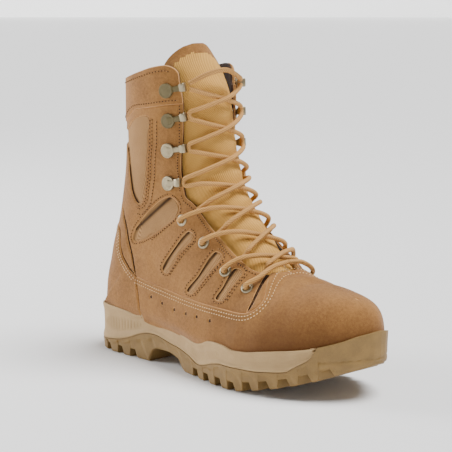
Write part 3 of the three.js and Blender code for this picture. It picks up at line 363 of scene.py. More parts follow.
def in_loop(points, loop):
    """Whether points lie inside a closed loop"""
    x, z = points[:, 0][:, None], points[:, 1][:, None]
    a, b = loop, np.roll(loop, -1, 0)
    hit = (a[:, 1] > z) != (b[:, 1] > z)
    rise = np.where(b[:, 1] == a[:, 1], 1e-9, b[:, 1] - a[:, 1])
    cross = (b[:, 0] - a[:, 0]) * (z - a[:, 1]) / rise + a[:, 0]
    return (hit & (x < cross)).sum(1) % 2 == 1


def in_mm(points):
    return np.array(points, float) * [LENGTH, BOOT_HEIGHT]


SPACING = 1.5
EDGES = {name: smooth_path(in_mm(line), 1.2) for name, line in {
    "band": BAND_EDGE, "counter": COUNTER_EDGE, "seam": COUNTER_SEAM,
    "cuff": CUFF_EDGE, "collar": COLLAR_EDGE}.items()}
HOLES = [smooth_path(in_mm(v), 1.0, True) for v in VENTS + [WINDOW]]


def groove(points, width):
    """Narrow closed loop along a line of the side view, pointed at its ends"""
    line = smooth_path(in_mm(points), 2.0)
    way = unit(np.gradient(line, axis=0))
    across_way = np.stack([-way[:, 1], way[:, 0]], -1)
    share = np.linspace(0, 1, len(line))
    half = width / 2 * np.minimum(np.minimum(share, 1 - share) * 8 + 0.15, 1)[:, None]
    return np.vstack([line + across_way * half, (line - across_way * half)[::-1]])


GROOVES = [
    groove([[0.143, 0.51], [0.148, 0.488], [0.166, 0.447], [0.188, 0.372], [0.206, 0.318], [0.222, 0.27]], 2.4),
    groove([[0.115, 0.43], [0.133, 0.415], [0.153, 0.34], [0.175, 0.31], [0.22, 0.275]], 1.5),
    groove([[0.219, 0.285], [0.24, 0.207], [0.247, 0.165], [0.25, 0.13]], 1.9),
    groove([[0.668, 0.375], [0.688, 0.32], [0.696, 0.275], [0.693, 0.245]], 2.4),
]
PERFORATIONS = [[92, 59], [108, 56], [126, 53.5], [143, 53], [158, 53], [175, 52.5]]


def round_hole(place, radius):
    turn = np.linspace(0, 2 * np.pi, 12, endpoint=False)
    return np.array(place) + np.stack([np.cos(turn), np.sin(turn)], -1) * radius


PINHOLES = [round_hole(q, 1.5) for q in PERFORATIONS]


def on_side(path, side):
    """Unrolled path of a side-view line, where it lies on the form"""
    back_x = np.interp(path[:, 1], BACK_Z, BACK_X)
    keep = path[:, 0] > back_x + 0.2
    first = np.argmax(keep)
    path = path[keep]
    u, w = locate(path, side)
    flat = unroll(u, w, side)
    if first > 0:
        z = path[0][1]
        row = np.interp(z, BACK_Z, BACK_U)
        flat = np.vstack([unroll([row], [1.0], side), flat])
    return flat


BACK_U = np.linspace(HEEL_ROW, LAST_ROW, 200)
BACK_XYZ = form_point(BACK_U, np.ones(200))
BACK_X, BACK_Z = BACK_XYZ[:, 0], BACK_XYZ[:, 2]


def net(side, spacing, lines, loops, fine=True):
    """Triangles over one half of the form, with its edges on the given lines"""
    rows = np.interp(np.arange(0, CLIMB[-1], spacing), CLIMB, ROWS)
    rows = np.unique(np.concatenate([rows, [LAST_ROW]]))
    border = [unroll(rows, 0 * rows, side), unroll(rows, 0 * rows + 1, side)]
    last = np.linspace(0, 1, int(SPREAD[side][1][-1, -1] / spacing))
    border.append(unroll(0 * last + LAST_ROW, last, side))
    bottom = np.linspace(0, 1, 9)
    border.append(unroll(0 * bottom, bottom, side))
    chains = [(b, False) for b in border] + [(k, False) for k in lines] + [(k, True) for k in loops]
    points, edges = [], []
    for chain, closed in chains:
        start = len(points)
        points.extend(chain.tolist())
        n = len(chain)
        edges.extend((start + i, start + (i + 1) % n) for i in range(n if closed else n - 1))
    fixed = len(points)
    tree = KDTree(fixed)
    for i, p in enumerate(points):
        tree.insert((p[0], p[1], 0), i)
    tree.balance()
    if fine:
        for chain, closed in chains[len(border):]:
            way = unit(np.roll(chain, -1, 0) - np.roll(chain, 1, 0) if closed
                       else np.gradient(chain, axis=0))
            for d in (-0.6, 0.6):
                for p in chain + np.stack([-way[:, 1], way[:, 0]], -1) * d:
                    if tree.find((p[0], p[1], 0))[2] > 0.55:
                        points.append(p.tolist())
    grow = spacing * math.sqrt(3) / 2
    near = spacing * (0.8 if not fine else 0.75)
    for k, s in enumerate(np.arange(grow * 0.6, CLIMB[-1] - 0.4 * grow, grow)):
        reach = float(look_up(SPREAD[side][1], np.interp([s], CLIMB, ROWS), np.ones(1))[0])
        for a in np.arange(spacing * (0.5 + 0.5 * (k % 2)), reach - 0.4 * spacing, spacing):
            if tree.find((a, s, 0))[2] > near:
                points.append([a, s])
    flat, _, faces, *_ = delaunay_2d_cdt([Vector(p) for p in points], edges, [], 0, 1e-5)
    flat = np.array([tuple(p) for p in flat])
    faces = np.array([f for f in faces if len(f) == 3])
    return flat, faces


class Skin:
    """Both halves of the form as one net, joined at the ridge, the toe and the heel"""

    def __init__(self, spacing, lines, loops, fine=True):
        flats, faces, u, w, sides = [], [], [], [], []
        count = 0
        for side in (-1, 1):
            flat, tri = net(side, spacing, [line(side) for line in lines],
                            [on_side(p, side) for p in loops], fine)
            row, way = roll(flat, side)
            tri = tri[~((way[tri] > 1 - 1e-5).all(1) | (way[tri] < 1e-5).all(1))]
            flats.append(flat * [side, 1])
            faces.append(tri + count)
            u.append(row)
            w.append(way * side)
            sides.append(np.full(len(row), side))
            count += len(row)
        self.flat, self.faces = np.vstack(flats), np.vstack(faces)
        self.u, self.phi, self.side = map(np.concatenate, (u, w, sides))
        self.point = form_point(self.u, np.where(self.phi == 0, self.side * 1e-7, self.phi))
        phi = np.where(np.abs(self.phi) < 1e-6, self.side * 1e-6, self.phi)
        self.normal = form_normal(self.u, phi)
        centre = self.point[self.faces].mean(1)
        self.view = centre[:, [0, 2]]
        self.way = np.abs(self.phi)[self.faces].mean(1)
        self.row = self.u[self.faces].mean(1)
        self.half = self.side[self.faces[:, 0]]

    def part(self, mask):
        """The faces of one panel, with the seam between the halves closed"""
        faces = self.faces[mask]
        used = np.unique(faces)
        seam = (np.abs(self.phi[used]) < 1e-4) | (np.abs(self.phi[used]) > 1 - 1e-4) | (self.u[used] < 1e-4)
        keys = np.round(self.point[used], 2)
        group, owner = {}, np.arange(len(used))
        for i in np.flatnonzero(seam):
            owner[i] = group.setdefault(tuple(keys[i]), i)
        kept, where = np.unique(owner, return_inverse=True)
        index = np.full(len(self.u), -1)
        index[used] = where
        normal = np.zeros((len(kept), 3))
        np.add.at(normal, where, self.normal[used])
        faces = index[faces]
        good = (faces[:, 0] != faces[:, 1]) & (faces[:, 1] != faces[:, 2]) & (faces[:, 0] != faces[:, 2])
        faces = faces[good]
        p = self.point[used][kept]
        n = unit(normal)
        turn = (np.cross(p[faces[:, 1]] - p[faces[:, 0]], p[faces[:, 2]] - p[faces[:, 0]])
                * n[faces[:, 0]]).sum(1)
        faces = np.where(turn[:, None] < 0, faces[:, [0, 2, 1]], faces)
        sel = used[kept]
        return Panel(p, n, faces, self.flat[sel], self.u[sel], self.phi[sel])


class Panel:
    def __init__(self, point, normal, faces, flat, u, phi):
        self.point, self.normal, self.faces, self.flat, self.u, self.phi = point, normal, faces, flat, u, phi
        pairs = np.sort(np.vstack([faces[:, [0, 1]], faces[:, [1, 2]], faces[:, [2, 0]]]), 1)
        names, counts = np.unique(pairs[:, 0] * 10**6 + pairs[:, 1], return_counts=True)
        single = set(names[counts == 1].tolist())
        self.rim = [(int(a), int(b)) for f in faces for a, b in ((f[0], f[1]), (f[1], f[2]), (f[2], f[0]))
                    if min(a, b) * 10**6 + max(a, b) in single]
        tree = KDTree(len(self.rim))
        for i, (a, _) in enumerate(self.rim):
            tree.insert(self.point[a], i)
        tree.balance()
        self.edge = np.array([tree.find(p)[2] for p in self.point])

    def walls(self, outer, inner, edge_radius=0.6):
        """Closed piece between an outer and an inner height, its outer edge rounded"""
        d = np.clip(self.edge / edge_radius, 0, 1)
        fall = edge_radius * (1 - np.sqrt(np.clip(1 - (1 - d) ** 2, 0, 1)))
        top = self.point + self.normal * (outer - fall)[:, None]
        low = self.point + self.normal * np.broadcast_to(inner, self.edge.shape)[:, None]
        n = len(top)
        faces = [tuple(f) for f in self.faces.tolist()]
        faces += [(c + n, b + n, a + n) for a, b, c in self.faces.tolist()]
        faces += [(b, a, a + n, b + n) for a, b in self.rim]
        return np.vstack([top, low]), faces


SHIFT = np.array([-LENGTH / 2, 0, 0])


def make(name, points, faces, material, replaces=(), uv=None, masks=None, smooth=True, index=None):
    """A finished piece at the origin, in metres"""
    mesh = bpy.data.meshes.new(name)
    points = (np.asarray(points, float) + SHIFT) * 0.001
    mesh.from_pydata(points.tolist(), [], faces)
    mesh.validate()
    mesh.update()
    if uv is not None:
        layer = mesh.uv_layers.new(name="flat")
        loops = np.empty(len(mesh.loops), int)
        mesh.loops.foreach_get("vertex_index", loops)
        layer.data.foreach_set("uv", (np.asarray(uv)[loops] * 0.001).astype(np.float32).ravel())
    for label, values in (masks or {}).items():
        mesh.attributes.new(label, "FLOAT", "POINT").data.foreach_set("value", np.asarray(values, np.float32))
    piece = bpy.data.objects.new(name, mesh)
    bpy.context.scene.collection.objects.link(piece)
    for m in material if isinstance(material, (list, tuple)) else [material]:
        mesh.materials.append(m)
    if index is not None:
        mesh.polygons.foreach_set("material_index", np.asarray(index, np.int32))
    if smooth:
        mesh.polygons.foreach_set("use_smooth", np.ones(len(mesh.polygons), bool))
        mesh.set_sharp_from_angle(angle=math.radians(50))
    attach(piece, "root")
    if replaces:
        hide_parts(*replaces)
    return piece


# Shader maths
class Value:
    """A socket of a material's tree, with arithmetic that adds its nodes"""

    def __init__(self, finish, socket):
        self.finish, self.socket = finish, socket

    def math(self, operation, *others, swap=False):
        values = [self, *others]
        if swap:
            values.reverse()
        return self.finish.node("ShaderNodeMath", {"operation": operation}, dict(enumerate(values)))

    def __add__(self, o): return self.math("ADD", o)
    def __radd__(self, o): return self.math("ADD", o, swap=True)
    def __sub__(self, o): return self.math("SUBTRACT", o)
    def __rsub__(self, o): return self.math("SUBTRACT", o, swap=True)
    def __mul__(self, o): return self.math("MULTIPLY", o)
    def __rmul__(self, o): return self.math("MULTIPLY", o, swap=True)
    def __truediv__(self, o): return self.math("DIVIDE", o)
    def __pow__(self, o): return self.math("POWER", o)

    def step(self, low, high):
        """0 below low, 1 above high, smooth between"""
        return self.finish.node("ShaderNodeMapRange", {"interpolation_type": "SMOOTHSTEP"},
                                {"Value": self, "From Min": low, "From Max": high})


class Finish:
    """One material and its tree"""

    def __init__(self, name):
        self.material = bpy.data.materials.new(name)
        self.material.use_nodes = True
        self.tree = self.material.node_tree
        self.tree.nodes.clear()

    def node(self, kind, settings=None, inputs=None, out=0):
        n = self.tree.nodes.new(kind)
        for key, value in (settings or {}).items():
            if key == "stops":
                ramp = n.color_ramp
                for i, (at, colour) in enumerate(value):
                    stop = ramp.elements[i] if i < 2 else ramp.elements.new(at)
                    stop.position, stop.color = at, (*colour, 1)
            else:
                setattr(n, key, value)
        for key, value in (inputs or {}).items():
            socket = n.inputs[key]
            if isinstance(value, Value):
                self.tree.links.new(value.socket, socket)
            elif isinstance(value, tuple) and socket.type == "RGBA":
                socket.default_value = (*value, 1)[:4]
            else:
                socket.default_value = value
        return Value(self, n.outputs[out])

    def place(self, kind="Object"):
        return self.node("ShaderNodeTexCoord", out=kind)

    def mask(self, name):
        return self.node("ShaderNodeAttribute", {"attribute_name": name}, out="Fac")

    def noise(self, scale, detail=3, rough=0.55, place=None, warp=0):
        return self.node("ShaderNodeTexNoise", inputs={
            "Vector": place or self.place(), "Scale": scale, "Detail": detail,
            "Roughness": rough, "Distortion": warp})

    def mix(self, factor, a, b, how="MIX"):
        return self.node("ShaderNodeMix", {"data_type": "RGBA", "blend_type": how},
                         {0: factor, 6: a, 7: b}, out=2)

    def bump(self, height, distance, strength=1.0):
        return self.node("ShaderNodeBump", inputs={
            "Height": height, "Distance": distance, "Strength": strength})

    def surface(self, colour, rough, normal=None, **fixed):
        values = {"Base Color": colour, "Roughness": rough, **fixed}
        if normal is not None:
            values["Normal"] = normal
        shader = self.node("ShaderNodeBsdfPrincipled", inputs=values)
        self.node_out(shader)
        return self.material

    def node_out(self, shader):
        end = self.tree.nodes.new("ShaderNodeOutputMaterial")
        self.tree.links.new(shader.socket, end.inputs["Surface"])


def linear(r, g, b):
    """Scene colour of a screen colour from 0 to 255"""
    return tuple(((c / 255 + 0.055) / 1.055) ** 2.4 if c > 10 else c / 255 / 12.92 for c in (r, g, b))


def suede_finish(name, light, dark, edge, low_shade_colour):
    f = Finish(name)
    patches = f.noise(26, 4, 0.55, warp=0.5).step(0.3, 0.7)
    nap = f.noise(420, 5, 0.7)
    fibre = f.noise(1600, 3, 0.6)
    grain = patches * 0.3 + nap.step(0.28, 0.72) * 0.4 + fibre.step(0.3, 0.7) * 0.3
    tone = f.mix(grain, dark, light)
    place = f.node("ShaderNodeSeparateXYZ", inputs={"Vector": f.place()})
    height = f.node("ShaderNodeSeparateXYZ", inputs={"Vector": f.place()}, out=2)
    # Painted shade: low on the boot and towards the toe, the suede is mixed to a darker colour.
    painted_low_shade = (1 - (height + f.noise(14, 2) * 0.03).step(0.05, 0.1)) * place.step(-0.02, 0.1)
    tone = f.mix(painted_low_shade * 0.85, tone, low_shade_colour)
    tone = f.mix(f.mask("edge").step(0.45, 0.95), tone, edge)
    height = nap * 0.5 + fibre * 0.5
    return f.surface(tone, 0.92, f.bump(height, 0.0004, 0.9), **{
        "Sheen Weight": 0.12, "Sheen Roughness": 0.5, "Specular IOR Level": 0.2})


def weave_finish(name, light, dark, pitch, turn, depth=0.00015):
    f = Finish(name)
    place = f.node("ShaderNodeMapping", {}, {"Vector": f.place("UV"), "Rotation": (0, 0, turn)})
    ribs = f.node("ShaderNodeTexWave", {"wave_type": "BANDS", "bands_direction": "X"},
                  {"Vector": place, "Scale": 1 / (pitch * 0.001) / 3.18, "Distortion": 0.4, "Detail": 1, "Detail Scale": 3}, out=1)
    cross = f.node("ShaderNodeTexWave", {"wave_type": "BANDS", "bands_direction": "Y"},
                   {"Vector": place, "Scale": 1 / (pitch * 0.0006) / 3.18, "Distortion": 0.4, "Detail": 1}, out=1)
    height = ribs * 0.7 + cross * 0.3
    tone = f.mix(height * 0.8 + f.noise(60, 3) * 0.3, dark, light)
    tone = f.mix(f.mask("shade"), tone, linear(44, 26, 14))
    return f.surface(tone, 0.9, f.bump(height, depth, 1.0), **{"Specular IOR Level": 0.2})


def plain_finish(name, light, dark, rough, grain, depth, **fixed):
    f = Finish(name)
    spots = f.noise(grain, 4, 0.6)
    wide = f.noise(grain / 12, 3, 0.5)
    tone = f.mix(wide.step(0.3, 0.7) * 0.3 + spots * 0.7, dark, light)
    return f.surface(tone, rough, f.bump(spots, depth, 0.7), **fixed)


# The fourth colour is painted shade, laid on the suede low on the boot towards the toe.
TAN = suede_finish("suede_tan", linear(166, 118, 64), linear(108, 70, 34), linear(196, 146, 90), linear(84, 50, 22))
CLOTH = weave_finish("side_cloth", linear(190, 146, 96), linear(104, 72, 40), 1.5, 0.15, 0.0004)
TONGUE_CLOTH = weave_finish("tongue_cloth", linear(236, 184, 98), linear(156, 106, 44), 1.6, 0.7, 0.0004)
LINING = plain_finish("dark_lining", linear(58, 36, 20), linear(34, 20, 11), 0.95, 900, 0.0003)
FOAM = plain_finish("midsole_foam", linear(180, 150, 106), linear(156, 126, 84), 0.8, 1400, 0.0001)
RUBBER = plain_finish("outsole_rubber", linear(146, 114, 60), linear(108, 82, 42), 0.65, 1100, 0.0001)
LACE_CLOTH = weave_finish("lace_braid", linear(212, 162, 98), linear(144, 100, 54), 1.4, 0.785, 0.0003)
NICKEL = plain_finish("nickel", linear(176, 162, 132), linear(134, 122, 96), 0.35, 700, 0.00003, Metallic=0.85)
OLIVE = plain_finish("olive_paint", linear(112, 98, 58), linear(84, 72, 40), 0.5, 700, 0.00003, Metallic=0.2)
INSOLE = plain_finish("insole_cloth", linear(70, 50, 32), linear(46, 32, 20), 0.95, 1200, 0.0002)
CREAM = plain_finish("cream_thread", linear(232, 200, 150), linear(206, 168, 116), 0.8, 2400, 0.0001)
THREAD = plain_finish("tan_thread", linear(182, 134, 80), linear(148, 102, 56), 0.85, 2400, 0.0001)
# Painted shade: a near-black brown for the floors of holes, ring bores and needle holes, where only shade falls.
HOLE_SHADE = plain_finish("painted_hole_shade", linear(52, 28, 14), linear(36, 18, 9), 0.95, 2400, 0.0001)

# Cord between the top hooks
FIELD = HOOKS[-1][2]
LIFT = LACE / 2 + 1
RING_TOP = RINGS[0][2] + RING_THICK + GAP + LACE / 2
HOOK_STAND, HOOK_OPEN = 1.3, LACE + 2 * GAP


def throat(u, side):
    return throat_at(u)[..., 0 if side < 0 else 1]


def hook_frame(level, side):
    u, button, end_u, end, shift, _ = HOOKS[level]
    move = shift if side > 0 else 0
    b, e = on_form(u, side * (button + move), 0), on_form(end_u, side * (end + move), 0)
    out = form_normal((u + end_u) / 2, side * (button + end + 2 * move) / 2)
    along = e - b
    along = unit(along - out * (along @ out))
    return b, e, out, along, np.cross(along, out), (e - b) @ along


def row_past(u, phi, distance):
    step = np.linalg.norm(form_point(u + 0.05, phi) - form_point(u - 0.05, phi)) / 0.1
    return u + distance / step


def at_hook(level, side, way):
    """Where the lace lies at an open end: way is -1 below the arm, 1 above it"""
    b, e, out, along, over, reach = hook_frame(level - len(RINGS), side)
    over = over * (1 if over[2] > 0 else -1)
    return (e + along * (HOOK_STOCK + LACE / 2 + 1.5 * GAP) + over * way * (LACE / 2 + 0.12)
            + out * (HOOK_STAND + LACE / 2))


def tube(path, radius, sides=14, flat=1.0, up=None):
    """Round tube along a path, with closed ends and its own length and angle"""
    p = np.asarray(path, float)
    tangent = unit(np.gradient(p, axis=0))
    frame_x = np.cross(tangent[0], [0.3, 0.5, 0.81])
    frames = []
    x = unit(frame_x)
    for t in tangent:
        x = unit(x - t * (x @ t))
        frames.append(x)
    x = np.array(frames)
    y = np.cross(tangent, x)
    turn = np.linspace(0, 2 * np.pi, sides, endpoint=False)
    ring = (x[:, None] * np.cos(turn)[None, :, None] + y[:, None] * np.sin(turn)[None, :, None]) * radius
    points = (p[:, None] + ring).reshape(-1, 3)
    n = len(p)
    faces = [(i * sides + j, i * sides + (j + 1) % sides, (i + 1) * sides + (j + 1) % sides, (i + 1) * sides + j)
             for i in range(n - 1) for j in range(sides)]
    faces.append(tuple(range(sides))[::-1])
    faces.append(tuple((n - 1) * sides + j for j in range(sides)))
    run = np.concatenate([[0], np.cumsum(np.linalg.norm(np.diff(p, axis=0), axis=1))])
    uv = np.stack([np.repeat(run, sides), np.tile(turn * radius, n)], -1)
    return points, faces, uv


def knot_route():
    top, u = len(RINGS) + len(HOOKS) - 1, FIELD
    return [at_hook(top, -1, 1), on_form(u + 0.3, -0.1, LIFT + 1), on_form(u + 0.35, 1e-6, LIFT + 2),
            on_form(u + 0.1, 0.1, LIFT + 3.4), at_hook(top, 1, 1)]


def lace_knot():
    path = smooth_path(knot_route(), 1.0)
    points, faces, uv = tube(path, LACE / 2)
    piece = make("lace_knot_cord", points, faces, LACE_CLOTH, ["lace_knot"], uv)
    metres = (path + SHIFT) * 0.001
    length = float(np.linalg.norm(np.diff(metres, axis=0), axis=1).sum())
    return piece, metres, length


def station_row(level):
    return RINGS[level][0] if level < len(RINGS) else HOOKS[level - len(RINGS)][2]


def tautly(a, b, phi, row, height):
    """Point over the form above a straight line from a to b, where the way round is phi"""
    across = np.cross(b - a, form_normal(row, 1e-6))
    rows = np.linspace(row - 4, row + 4, 801)
    off = (form_point(rows, phi) - a) @ across
    return on_form(rows[np.argmin(np.abs(off))], phi, height)


def lace_path(half):
    """One half of the lace, from the middle of the bottom bar to the top hooks"""
    u, phi, _ = RINGS[0]
    low = row_past(u, phi, -LACE * 1.1)
    way = [on_form(low, half * 1e-6, LIFT + 2.8), on_form(low, half * 0.35 * phi, LIFT + 2.4),
           on_form(low, half * 0.72 * phi, RING_TOP + 0.8), on_form(u, half * phi, RING_TOP + 0.1)]
    side = half
    for level in range(len(RINGS) + len(HOOKS) - 1):
        nxt = level + 1
        row = (station_row(level) + station_row(nxt)) / 2
        if level < len(RINGS):
            ru, rphi, _ = RINGS[level]
            q = float(throat(ru, side)) - 0.045
            back = 0.4 if level == 0 else -0.8
            way += [on_form(ru, side * rphi, -1.5), on_form(ru, side * (rphi - 0.025), -4.5),
                    on_form(row_past(ru, q, LACE * back), side * q, 0.4)]
        else:
            way += [at_hook(level, side, 1)]
        if nxt < len(RINGS):
            ru, rphi, _ = RINGS[nxt]
            ends = [on_form(row_past(ru, rphi, -LACE), -side * (float(throat(ru, -side)) + 0.012), RING_TOP + 0.5),
                    on_form(ru, -side * rphi, RING_TOP + 0.1)]
        else:
            ends = [at_hook(nxt, -side, -1)]
        a, b = way[-1], ends[0]
        middle_height = LIFT + 0.2 if side > 0 else LIFT + LACE * 0.8
        way += [tautly(a, b, side * float(throat(row, side)) * 0.55, row, LIFT + 0.8),
                tautly(a, b, side * 0.005, row, middle_height),
                tautly(a, b, -side * float(throat(row, -side)) * 0.6, row, LIFT + 1), *ends]
        side = -side
    return np.array([np.ravel(p) for p in way])


def laces():
    names = ["lace_bar"] + [f"lace_cross_{i}" for i in range(1, 8)]
    for half, label in ((-1, "outer"), (1, "inner")):
        path = smooth_path(lace_path(half), 1.2)
        points, faces, uv = tube(path, LACE / 2 - 0.1)
        make(f"lace_{label}_half", points, faces, LACE_CLOTH, names, uv)


knot_piece, knot_path, knot_length = lace_knot()
laces()

# Leather and cloth
def throat_edge(side, first=THROAT[0][0], last=LAST_ROW, inward=0.0):
    """Unrolled edge of the throat, or a line a distance behind it"""
    rows = np.linspace(first, last, 150)
    flat = unroll(rows, throat(rows, side), side)
    way = unit(np.gradient(flat, axis=0))
    return flat + np.stack([way[:, 1], -way[:, 0]], -1) * inward


def throat_foot(side):
    ways = np.linspace(0, float(throat(THROAT[0][0], side)), 12)
    return unroll(0 * ways + THROAT[0][0], ways, side)


def view_line(name):
    return lambda side: on_side(EDGES[name], side)


skin = Skin(SPACING, [view_line(k) for k in EDGES] + [throat_edge, throat_foot], HOLES + GROOVES + PINHOLES)


def closed_by(edge, *more):
    return np.vstack([edge, in_mm(more)])


def inside_throat(net_of):
    edge = throat_at(net_of.row)[np.arange(len(net_of.row)), (net_of.half > 0).astype(int)]
    return (net_of.row > THROAT[0][0]) & (net_of.way < edge)


above_collar = in_loop(skin.view, closed_by(EDGES["collar"], [0.7, 1.5], [-0.1, 1.5]))
in_throat = inside_throat(skin)
above_cuff = in_loop(skin.view, closed_by(EDGES["cuff"], [0.6, 1.5], [-0.1, 1.5]))
open_skin = above_collar | in_throat
in_hole = np.zeros(len(skin.faces), bool)
for hole in HOLES + GROOVES + PINHOLES:
    in_hole |= in_loop(skin.view, hole)
in_counter = in_loop(skin.view, np.vstack([EDGES["counter"], EDGES["seam"], in_mm([[-0.1, -0.05]])]))
quarter_loop = np.vstack([EDGES["counter"], EDGES["band"], in_mm([[0.67, 0.45], [0.8, 0.6]]), EDGES["cuff"][::-1]])
in_quarter = in_loop(skin.view, quarter_loop) & ~open_skin & ~above_cuff
in_vamp = ~in_counter & ~in_quarter & ~above_cuff & ~open_skin


# Soft troughs in the leather: side-view line, half width in millimetres, depth in millimetres
CREASES = [
    ([[0.7, 0.36], [0.74, 0.3], [0.75, 0.23]], 7, 0.7), ([[0.78, 0.33], [0.8, 0.27], [0.79, 0.2]], 8, 0.5),
    ([[0.3, 0.5], [0.36, 0.53], [0.43, 0.55]], 7, 0.7), ([[0.29, 0.62], [0.34, 0.6], [0.39, 0.615]], 9, 0.6),
    ([[0.12, 0.4], [0.2, 0.44], [0.26, 0.47]], 7, 0.5), ([[0.3, 0.33], [0.36, 0.28], [0.44, 0.275]], 6, 0.4),
    ([[0.3, 0.72], [0.35, 0.7], [0.39, 0.71]], 9, 0.5), ([[0.09, 0.3], [0.12, 0.24], [0.1, 0.18]], 9, 0.5),
]


def crease_lines():
    made = []
    for line, wide, deep in CREASES:
        for side in (-1, 1):
            path = on_side(smooth_path(in_mm(line), 2.0), side) * [side, 1]
            made.append((path, wide, deep))
    return made


CREASE_LINES = crease_lines()


def relief(flat):
    """Height of the leather's soft troughs and slow waves at unrolled points"""
    h = 0.16 * np.sin(flat[:, 0] / 11 + 1.3 * np.sin(flat[:, 1] / 17)) * np.sin(flat[:, 1] / 13 + 0.7)
    for path, wide, deep in CREASE_LINES:
        near = np.min(np.linalg.norm(flat[:, None] - path[None], axis=2), axis=1)
        h = h - deep * (np.exp(-(near / wide) ** 2) - 0.35 * np.exp(-((near - 1.7 * wide) / wide) ** 2))
    return h


def panel(name, mask, outer, inner, material, replaces, radius=0.6):
    p = skin.part(mask)
    points, faces = p.walls(outer + relief(p.flat), inner, radius)
    masks = {"edge": np.concatenate([np.clip(1 - p.edge / 1.3, 0, 1), np.ones(len(p.u))])}
    uv = np.vstack([p.flat, p.flat])
    return make(name, points, faces, material, replaces, uv, masks)


CUFF_TOP, BAND_TOP, QUARTER_TOP = 0.5, 0.25, -0.4
panel("vamp", in_vamp & ~in_hole, BAND_TOP, -PANEL, TAN, ["vamp_and_side_band"])
panel("counter", in_counter & ~in_hole, 0.0, -PANEL, TAN, ["heel_counter"])
panel("cuff", above_cuff & ~open_skin, CUFF_TOP, -PANEL, TAN, ["collar_cuff"], 1.1)
for label, side in (("lateral", -1), ("medial", 1)):
    panel(f"quarter_{label}_suede", in_quarter & ~in_hole & (skin.half == side), QUARTER_TOP, -PANEL, TAN,
          [f"quarter_{label}"])


def apart(points, line):
    """Distance of points from a line's points"""
    return np.min(np.linalg.norm(points[:, None] - line[None], axis=2), axis=1)


# Points of each vent at its deep edge and at its sewn edge
VENT_SIDES = [((0, 1), (3, 4)), ((0, 1, 2), (3, 4, 5)), ((0, 1, 2), (3, 4, 5)), ((0, 1, 2), (3, 4, 5)),
              ((1, 2, 3, 4), (6, 7, 8, 9))]


def upper_shell():
    coarse = Skin(2.1, [view_line("collar"), throat_edge, throat_foot], HOLES)
    gone = in_loop(coarse.view, closed_by(EDGES["collar"], [0.7, 1.5], [-0.1, 1.5]))
    gone |= inside_throat(coarse)
    p = coarse.part(~gone)
    top = np.full(len(p.u), -PANEL - GAP)
    shade = np.zeros(len(p.u))
    view = p.point[:, [0, 2]]
    for v, (dark, low) in zip(VENTS + [WINDOW], VENT_SIDES):
        inside = in_loop(view, smooth_path(in_mm(v), 1.0, True))
        above = apart(view, smooth_path(in_mm([v[k] for k in dark]), 0.7))
        below = apart(view, smooth_path(in_mm([v[k] for k in low]), 0.7))
        share = above / (above + below)
        lift = -1.0 + 1.9 * np.clip(share * 1.5, 0, 1) ** 0.8
        top = np.where(inside, top + lift * np.clip(np.minimum(above, below) / 0.8, 0, 1), top)
        shade = np.maximum(shade, np.where(inside | (above < 1), np.exp(-(above / 1.7) ** 2), 0))
    for line in GROOVES:
        shade = np.maximum(shade, np.exp(-(apart(view, line) / 2.0) ** 4))
    shade = np.maximum(shade, np.exp(-(apart(view, np.array(PERFORATIONS, float)) / 2.8) ** 4))
    points, faces = p.walls(top, -PANEL - GAP - WALL, 0.8)
    n = len(p.faces)
    index = [0] * n + [1] * (len(faces) - n)
    make("upper_shell", points, faces, [CLOTH, LINING], ["upper"], np.vstack([p.flat, p.flat]),
         {"shade": np.concatenate([shade, shade])}, index=index)


upper_shell()


TONGUE_BAND = 8.5


